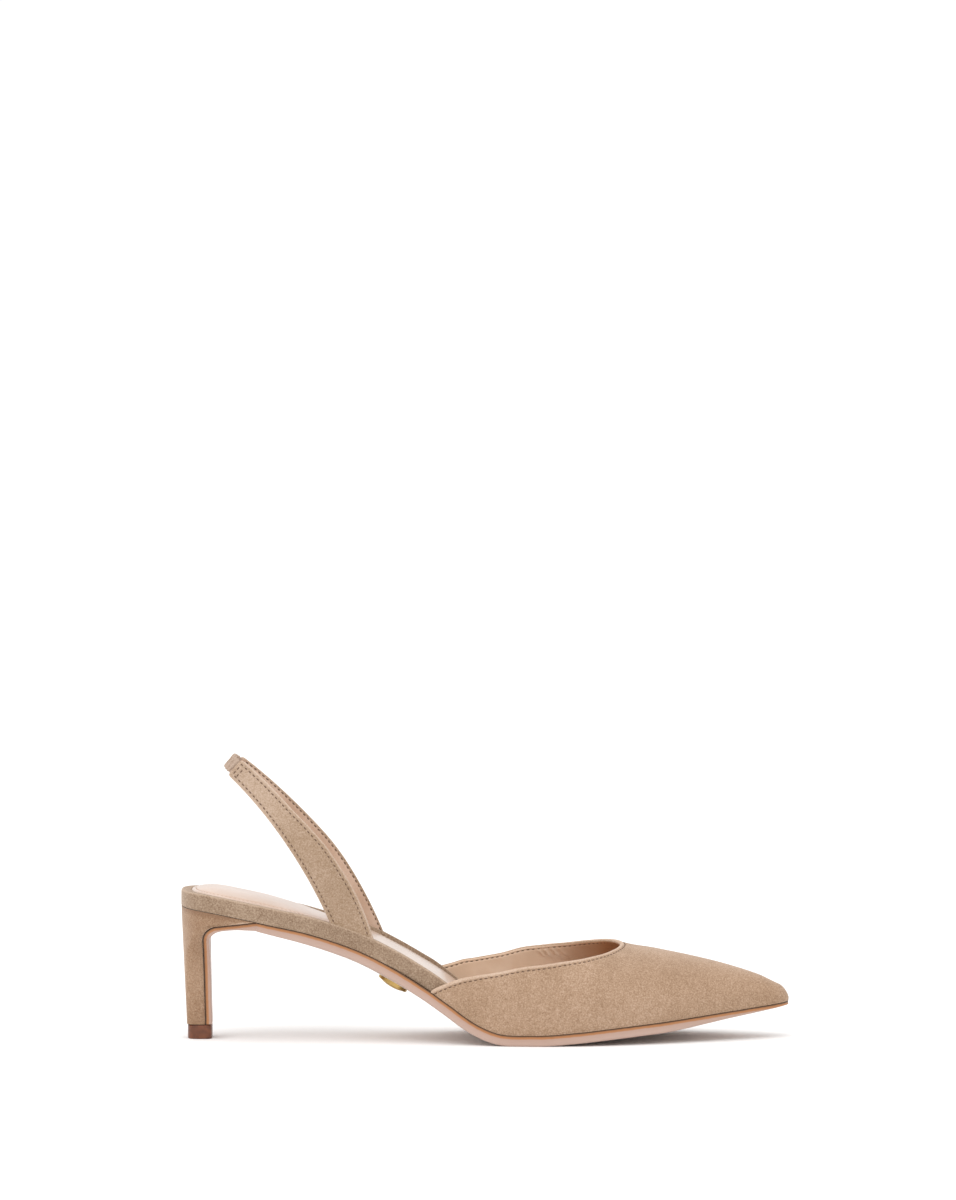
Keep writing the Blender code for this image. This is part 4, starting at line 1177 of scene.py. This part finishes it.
def stitch_mesh(rows, pitch=0.0022, length=0.00150, radius=0.00024):
    """Stitches along several (path, normals) rows, as one mesh.

    A stitch is a tube: radius * sqrt(1 - u^4) at u from -1 to 1 along it, three quarters as
    high as it is wide, and sunk into the leather by 0.9 * u^2 of its radius.
    """
    sides = 6
    u = np.array([-1.0, -0.92, -0.55, 0.0, 0.55, 0.92, 1.0])[:, None, None]
    turn = (2 * np.pi * np.arange(sides) / sides)[:, None]
    size = radius * np.sqrt(np.clip(1 - u**4, 0, 1))
    lift = radius * (0.35 - 0.9 * u**2)
    points = []
    for path, normals in rows:
        reach = arc_length(path)
        place = np.arange(pitch / 2, reach[-1], pitch)
        centre = at_lengths(place, reach, path)
        out = at_lengths(place, reach, normals)
        run = unit(np.gradient(centre, axis=0))
        out = unit(out - (out * run).sum(axis=1, keepdims=True) * run)
        side = np.cross(run, out)
        centre, run, side, out = (values[:, None, None] for values in (centre, run, side, out))
        height = np.sin(turn) * size * 0.75 + lift
        points.append(centre + run * u * length / 2 + side * np.cos(turn) * size + out * height)
    points = np.concatenate(points)
    index = np.arange(points.size // 3).reshape(points.shape[:3])
    after = np.roll(index, -1, axis=2)
    quads = np.stack([index[:, :-1], after[:, :-1], after[:, 1:], index[:, 1:]], axis=-1)
    mesh = bpy.data.meshes.new("stitches")
    mesh.from_pydata((points.reshape(-1, 3) + BACK).tolist(), [], quads.reshape(-1, 4).tolist())
    merge(mesh, 60)
    print(len(points), "stitches")
    return mesh


# %% The top line's seam, on both faces
def seam(depth, face):
    """A line at a depth below the top line, on the outer face (1) or the lining (-1)."""
    along = START + depth * PER_METRE
    normal = last_normal(along, GIRTH)
    line = last_surface(along, GIRTH) - normal * (STITCH_SINK if face > 0 else UPPER_WALL - STITCH_SINK)
    return line, normal * face


vamp_seams = stitch_mesh([seam(STITCH_DEPTH, 1), seam(LINING_STITCH_DEPTH, -1)])
dress("vamp_stitches", vamp_seams, [THREAD], None)

# %% [markdown]
# ## The slingback
#
# Each leg of the strap is suede folded round a smooth lining, stitched near both edges and twice
# across its top end. Its middle surface is a parabola in side view that leans in towards the back
# of the foot. The grid carries a flat section with round corners along it, and the seams press
# channels into the suede.


# %% The middle surface of a leg
def strap_side_view(t, leg):
    """A leg's line in side view, from its foot (0) to the back of the loop (1): a parabola."""
    foot = np.array([leg.foot * SHOE_LENGTH, board_top(leg.foot)])
    back = np.array([STRAP_BACK_ALONG * SHOE_LENGTH, HEEL_HEIGHT + STRAP_RISE])
    chord = back - foot
    forward = unit(np.array([chord[1], -chord[0]]))
    control = (foot + back) / 2 + 2 * leg.bow * forward
    t = np.asarray(t, float)[..., None]
    point = (1 - t) ** 2 * foot + 2 * t * (1 - t) * control + t**2 * back
    run = unit(2 * (1 - t) * (control - foot) + 2 * t * (back - control))
    return point, np.stack([run[..., 1], -run[..., 0]], axis=-1)


def strap_clock(leg):
    """Shares t along a leg's side view, and how far each lies from the back of the loop."""
    t = np.linspace(-0.4, 1, FINE)
    return t, arc_length(strap_side_view(t, leg)[0][::-1])[::-1]


def distance_at(t, leg):
    """Distance from the back of the loop at a share t, measured in side view."""
    return np.interp(t, *strap_clock(leg))


def share_at(distance, leg):
    """Share t at a distance from the back of the loop, measured in side view."""
    t, away = strap_clock(leg)
    return np.interp(distance, away[::-1], t[::-1])


def strap_width(distance, leg):
    """Width of a leg at a distance from the back of the loop."""
    t, away = strap_clock(leg)
    full = away[np.searchsorted(t, 0.0)]
    return STRAP_TOP_WIDTH + (STRAP_FOOT_WIDTH - STRAP_TOP_WIDTH) * distance / full


def strap_surface(t, across, leg):
    """Middle surface of one leg. across is a distance from the strap's middle, in metres."""
    point, sideways = strap_side_view(t, leg)
    distance = distance_at(t, leg)
    flat = point + np.asarray(across)[..., None] * sideways
    foot_edge = leg.side * inset_edge(flat[..., 0], leg.side, STRAP_INSET)
    nose = rounded(distance, LOOP_DEPTH, LOOP_POWER)
    spread = ease(distance / LOOP_TAPER)
    y = leg.side * (LOOP_HALF_WIDTH + (foot_edge - LOOP_HALF_WIDTH) * spread) * nose
    return np.stack([flat[..., 0], y, flat[..., 1]], axis=-1)


def strap_normal(t, across, leg):
    """The unit vector square to the strap's middle surface, out of its suede face."""
    small = 1e-3
    step = 1e-4
    onward = strap_surface(t + small, across, leg) - strap_surface(t - small, across, leg)
    over = strap_surface(t, across + step, leg) - strap_surface(t, across - step, leg)
    normal = unit(np.cross(onward, over))
    return normal * np.sign(leg.side * normal[..., 1:2])


# %% How much fuller the front edge of each leg is than a straight taper
FULLER = table(
    "away outer inner",
    (0.000, 0.0, -0.0003), (0.014, 0.0, -0.0007), (0.029, 0.0001, -0.0010),
    (0.041, 0.0011, -0.0008), (0.053, 0.0020, -0.0002), (0.065, 0.0020, 0.0),
    (0.078, 0.0016, 0.0), (0.092, 0.0003, 0.0),
)


def fuller_front(distance, leg):
    """What the front edge of a leg gains at a distance from the back of the loop."""
    return from_table(FULLER, "outer" if leg.side < 0 else "inner", distance)


# %% The section of a leg
ACROSS_BAND = np.array([-0.5, -0.42, 0.0, 0.42, 0.5])
STRAP_SEAM = {-1: 0.0016, 1: 0.0009}
SEAM_PRESS = 0.00024
SEAM_WIDTH = 0.0004
STRAP_CORNER = 0.00065
END_CORNER = 0.0014
END_SEAMS = (0.0015, 0.0031)


def foot_share(leg, depth):
    """For lines along a leg, the share t where each meets the board's face, lowered by a depth."""
    t = np.linspace(-0.4, 0.6, FINE)[:, None]
    line = strap_surface(t, ACROSS_BAND * strap_width(distance_at(t, leg), leg), leg)
    over = line[..., 2] - board_top(line[..., 0] / SHOE_LENGTH) + depth
    return np.array([np.interp(0.0, column, t[:, 0]) for column in over.T])


def flat_section(face, corner):
    """A closed section with round corners: a face, two corners, and the same turned half round.

    A point lies at core * (half size - radius) + arc * radius, across the strap and out of it.
    Its rows are core and arc across, then core and arc out.
    """
    turn = np.linspace(0, np.pi / 2, corner)
    flat = np.ones(face)
    bend = np.ones(corner)
    half = [
        [np.linspace(-1, 1, face), bend, bend],
        [0 * flat, np.sin(turn), np.cos(turn)],
        [flat, bend, -bend],
        [flat, np.cos(turn), -np.sin(turn)],
    ]
    half = np.array([np.concatenate(row) for row in half])
    return np.concatenate([half, -half, half[:, :1]], axis=1)


def strap_points(leg, rows=210):
    """A leg of the strap: its section carried from inside the rim to its stitched top end."""
    core_a, arc_a, core_o, arc_o = flat_section(34, 6)
    end = share_at(STRAP_END, leg)
    bottom = np.interp(core_a / 2, ACROSS_BAND, foot_share(leg, STRAP_SEAT))
    t = bottom + (end - bottom) * crowded(rows, 1.35)[:, None]
    distance = distance_at(t, leg)
    from_end = distance - STRAP_END
    half = strap_width(distance, leg) / 2 - END_CORNER * (1 - rounded(from_end, END_CORNER, 2.0))
    half = half + (core_a > 0) * fuller_front(distance, leg)
    thick = STRAP_THICKNESS / 2 * rounded(from_end, 0.0007, 2.0)
    corner = np.minimum(STRAP_CORNER, thick)
    across = core_a * (half - corner) + arc_a * corner
    out = core_o * (thick - corner) + arc_o * corner
    from_seam = half - STRAP_SEAM[leg.side] - np.abs(across)
    pressed = hump(from_seam, 0, SEAM_WIDTH) * ease(from_end, 0, 0.002)
    for place in END_SEAMS:
        across_end = ease(0.5 + from_seam / 0.0008) * hump(from_end, place, SEAM_WIDTH)
        pressed = np.maximum(pressed, across_end)
    out = out - np.sign(out) * np.minimum(SEAM_PRESS * pressed, np.abs(out))
    points = strap_surface(t, across, leg) + strap_normal(t, across, leg) * out[..., None]
    # Painted light: a painted highlight on the rounded edges of the suede face, with some paler
    # stretched nap, and the legs painted paler towards their top, where more light falls
    wear_and_light_level = 0.7 * np.abs(arc_a) * (core_o > 0) + 0.35 * ease(1 - distance / 0.055)
    part = (core_o < 0) & (arc_a == 0)
    return np.concatenate([pole(points[0]), points]), part[:-1], np.concatenate([wear_and_light_level[:1], wear_and_light_level])


for leg in LEGS:
    strap_grid, strap_part, strap_edge_and_top_light = strap_points(leg)
    strap = grid_mesh(strap_grid, part=strap_part, wear_and_light_level=strap_edge_and_top_light)
    dress(leg.name + "_suede", strap, [STRAP_SUEDE, STRAP_LINING], leg.name)

# %% The strap's seams
THREAD_SINK = 0.00022


def strap_seams(leg):
    """Rows of stitches near both edges and across the end, on the suede and on the lining."""
    lines = []
    for side in (1, -1):
        foot = np.interp(0.4 * side, ACROSS_BAND, foot_share(leg, -0.0002))
        distance = np.linspace(distance_at(foot, leg), STRAP_END + 0.0012, 400)
        beside = strap_width(distance, leg) / 2 - STRAP_SEAM[leg.side]
        lines.append((distance, side * beside + (side > 0) * fuller_front(distance, leg)))
    for from_end in END_SEAMS:
        place = np.full(60, STRAP_END + from_end)
        reach = strap_width(place, leg) / 2 - STRAP_SEAM[leg.side]
        lines.append((place, reach * np.linspace(-1, 1, 60)))
    rows = []
    for face in (1, -1):
        for place, across in lines:
            t = share_at(place, leg)
            out = strap_normal(t, across, leg) * face
            rows.append((strap_surface(t, across, leg) + out * (STRAP_THICKNESS / 2 - THREAD_SINK), out))
    return rows


for leg in LEGS:
    dress(leg.name + "_stitches", stitch_mesh(strap_seams(leg)), [THREAD], None)

# %% [markdown]
# ## The elastic
#
# Behind the foot the two legs are joined by a short elastic inside a tube of suede. The tube is
# longer than the elastic, so it gathers into small folds across its width. The folds are a sum of
# two waves of different length along the loop, strongest in the middle of the band.


# %% The gathered tube
GATHER = 0.00032
EDGE_WAVE = 0.0002
FOLD_PITCH = 0.0020
SECOND_PITCH = 0.0034


def elastic_points(steps=260):
    """The elastic: a flat section round the back of the loop, with gathers across it."""
    turn = np.linspace(0, np.pi / 2, steps)
    middle = []
    wide = []
    for leg in LEGS:
        t = share_at((STRAP_END + ELASTIC_TUCK) * (1 - np.cos(turn) ** (2 / LOOP_POWER)), leg)
        across = strap_side_view(t, leg)[1]
        middle.append(strap_surface(t, np.zeros_like(t), leg))
        wide.append(np.stack([across[:, 0], np.zeros(len(t)), across[:, 1]], axis=-1))
    middle = np.concatenate([middle[0][::-1], middle[1][1:]])
    wide = np.concatenate([wide[0][::-1], wide[1][1:]])
    length = arc_length(middle)
    even = np.linspace(0, length[-1], len(length))
    middle = at_lengths(even, length, middle)
    wide = unit(at_lengths(even, length, wide))
    thin = unit(np.cross(np.gradient(middle, axis=0), wide))
    core_a, arc_a, _, arc_o = flat_section(20, 6)
    half = ELASTIC_THICKNESS / 2
    across = core_a * (ELASTIC_WIDTH / 2 - half) + arc_a * half
    place = even[:, None]
    drift = 1.6 * np.sin(place / 0.0031)
    bent = place + 0.12 * across + 0.0002 * np.sin(across / 0.0009 + place / 0.0017)
    wave = np.sin(2 * np.pi * bent / FOLD_PITCH + drift)
    slow = 2 * np.pi * bent / SECOND_PITCH + 0.5 * np.sin(across / 0.0012)
    wave = wave + 0.45 * np.sin(slow + 2.0)
    gather = GATHER * wave * (0.60 + 0.40 * np.cos(np.pi * across / ELASTIC_WIDTH))
    edge = EDGE_WAVE * np.sin(2 * np.pi * place / FOLD_PITCH + drift)
    across = across + np.sign(core_a) * (np.abs(core_a) == 1) * edge
    out = arc_o * half + np.sign(arc_o) * np.abs(gather) * 0.4 + gather * 0.8
    points = middle[:, None] + wide[:, None] * across[..., None] + thin[:, None] * out[..., None]
    return np.concatenate([pole(points[0]), points, pole(points[-1])])


dress("elastic_suede", grid_mesh(elastic_points()), [ELASTIC_SUEDE], "strap_elastic")

# %% [markdown]
# ## The disc under the waist
#
# A small round plate is set into the sole under the waist. Here it is a plain disc of polished
# brass with a raised border, and nothing is written on it.

# %% The disc
DISC = table(
    "radius height",
    (1.00, 0.00), (1.00, 0.30), (1.00, 0.48), (0.975, 0.58), (0.93, 0.62), (0.88, 0.60),
    (0.85, 0.50), (0.81, 0.50), (0.77, 0.66), (0.62, 0.82), (0.34, 0.95), (0.00, 1.00),
)


def disc_points(count=97):
    """The disc, turned about the normal of the sole: radius and height from its table."""
    x = STUD_ALONG * SHOE_LENGTH
    y = (inset_edge(x, -1, SOLE_INSET) + inset_edge(x, 1, SOLE_INSET)) / 2
    under = np.concatenate([LINE + NORMALS * (SOLE_THICKNESS + SOLE_CROWN), NORMALS], axis=1)
    under = under[LINE[:, 0] > SEAT_FRONT * SHOE_LENGTH][::-1]
    z, nx, nz = (np.interp(x, under[:, 0], values) for values in under.T[1:])
    radius, depth = smooth_rows(DISC, 60)
    radius = STUD_RADIUS * radius[:, None]
    depth = STUD_HEIGHT * depth[:, None]
    turn = np.linspace(0, 2 * np.pi, count)
    forward = radius * np.cos(turn)
    sideways = radius * np.sin(turn)
    rings = [x + nx * depth - nz * forward, y + sideways, z + nz * depth + nx * forward]
    rings = np.stack(rings, axis=-1)
    return np.concatenate([pole(rings[0]), rings])


dress("arch_disc", grid_mesh(disc_points(), sharp=40), [STUD_BRASS], "arch_stud")

# %% [markdown]
# ## The insole's seam
#
# A fine pale seam holds the leather to its foam, two millimetres in from the edge.


# %% Pale stitches round the insole
def insole_seam():
    """The line of the pressed channel, from the waist round the heel to the waist."""
    sample = 250
    away = np.linalg.norm(insole_grid[sample, :, :2] - EDGE[sample], axis=-1)
    channel = np.argmin(np.abs(away - RIM_LIP - STITCH_FROM_EDGE))
    shown = (EDGE + INWARD * (RIM_LIP + STITCH_FROM_EDGE))[:, 0] < 0.5 * SHOE_LENGTH
    line = insole_grid[shown, channel]
    return line, np.broadcast_to([0.0, 0.0, 1.0], line.shape)


pale_seam = stitch_mesh([insole_seam()], pitch=0.0018, length=0.0012, radius=0.00018)
dress("insole_stitches", pale_seam, [PALE_THREAD], None)

# %% [markdown]
# ## Floor, light and camera
#
# The shoe stands on a plain pale floor that runs into a white background, as in a product
# picture. White light comes from all round, and one large soft lamp overhead gives it shape.


# %% Floor and light
FLOOR_HALF = 6.0
SURROUND = 1.05


def build_stage():
    """A wide pale floor and a white surround."""
    ends = np.array([-FLOOR_HALF, FLOOR_HALF])
    corners = np.stack([*np.meshgrid(ends, ends), np.zeros((2, 2))], axis=-1)
    mesh = grid_mesh(corners - BACK)
    made, tree, shader, place = new_finish("floor_paper", Roughness=0.9, Specular_IOR_Level=0.1)
    fibre = add(tree, "TexNoise", {"Scale": 1 / (2 * MM), "Detail": 2.0}, {"Vector": place})
    stops = [(0.3, "F7F7F7"), (0.7, "FAFAFA")]
    colour = add(tree, "ValToRGB", links={"Fac": fibre.outputs["Fac"]}, stops=stops)
    tree.links.new(colour.outputs["Color"], shader.inputs["Base Color"])
    mesh.materials.append(made)
    floor = bpy.data.objects.new("floor", mesh)
    bpy.context.scene.collection.objects.link(floor)
    world = bpy.data.worlds.new("white_surround")
    world.use_nodes = True
    world.node_tree.nodes["Background"].inputs["Color"].default_value = (1, 1, 1, 1)
    world.node_tree.nodes["Background"].inputs["Strength"].default_value = SURROUND
    bpy.context.scene.world = world


def soft_light(name, side, front, up, power, spread):
    """Parallel light from a wide disc of sky, which lies to one side, in front and above."""
    light = bpy.data.lights.new(name, "SUN")
    light.energy = power
    light.angle = np.radians(spread)
    made = bpy.data.objects.new(name, light)
    made.rotation_euler = (np.arctan2(np.hypot(side, front), up), 0, np.arctan2(side, front))
    bpy.context.scene.collection.objects.link(made)


build_stage()
soft_light("overhead", -0.25, 0.40, 1.0, 1.20, 60)

# %% [markdown]
# The picture was taken from the outer side of the shoe, a little above its height and from far
# away. The camera stands 4 m off with a long lens. Where a known point of the shoe lies in the
# picture gives the lens its two small turns.

# %% Camera
PICTURE = (956, 1200)
DISTANCE = 4.0
PIXELS_PER_METRE = 2427.0
ELEVATION = np.radians(5.4)
AIM = np.array([0.0, 0.0, 0.0573])
AIM_PIXEL = (485.0, 898.8)
SENSOR = 36.0

focal = DISTANCE * PIXELS_PER_METRE
camera_data = bpy.data.cameras.new("camera")
camera_data.sensor_width = SENSOR
camera_data.lens = focal / PICTURE[1] * SENSOR
camera_data.clip_end = 20.0
camera = bpy.data.objects.new("camera", camera_data)
camera.location = AIM + DISTANCE * np.array([0.0, -np.cos(ELEVATION), np.sin(ELEVATION)])
pitch = ELEVATION - np.arctan((AIM_PIXEL[1] - PICTURE[1] / 2) / focal)
yaw = np.arctan((AIM_PIXEL[0] - PICTURE[0] / 2) / focal)
camera.rotation_euler = (np.pi / 2 - pitch, 0.0, yaw)
bpy.context.scene.collection.objects.link(camera)
bpy.context.scene.camera = camera
bpy.context.scene.view_settings.view_transform = "Standard"
print("lens, mm:", round(camera_data.lens, 1))
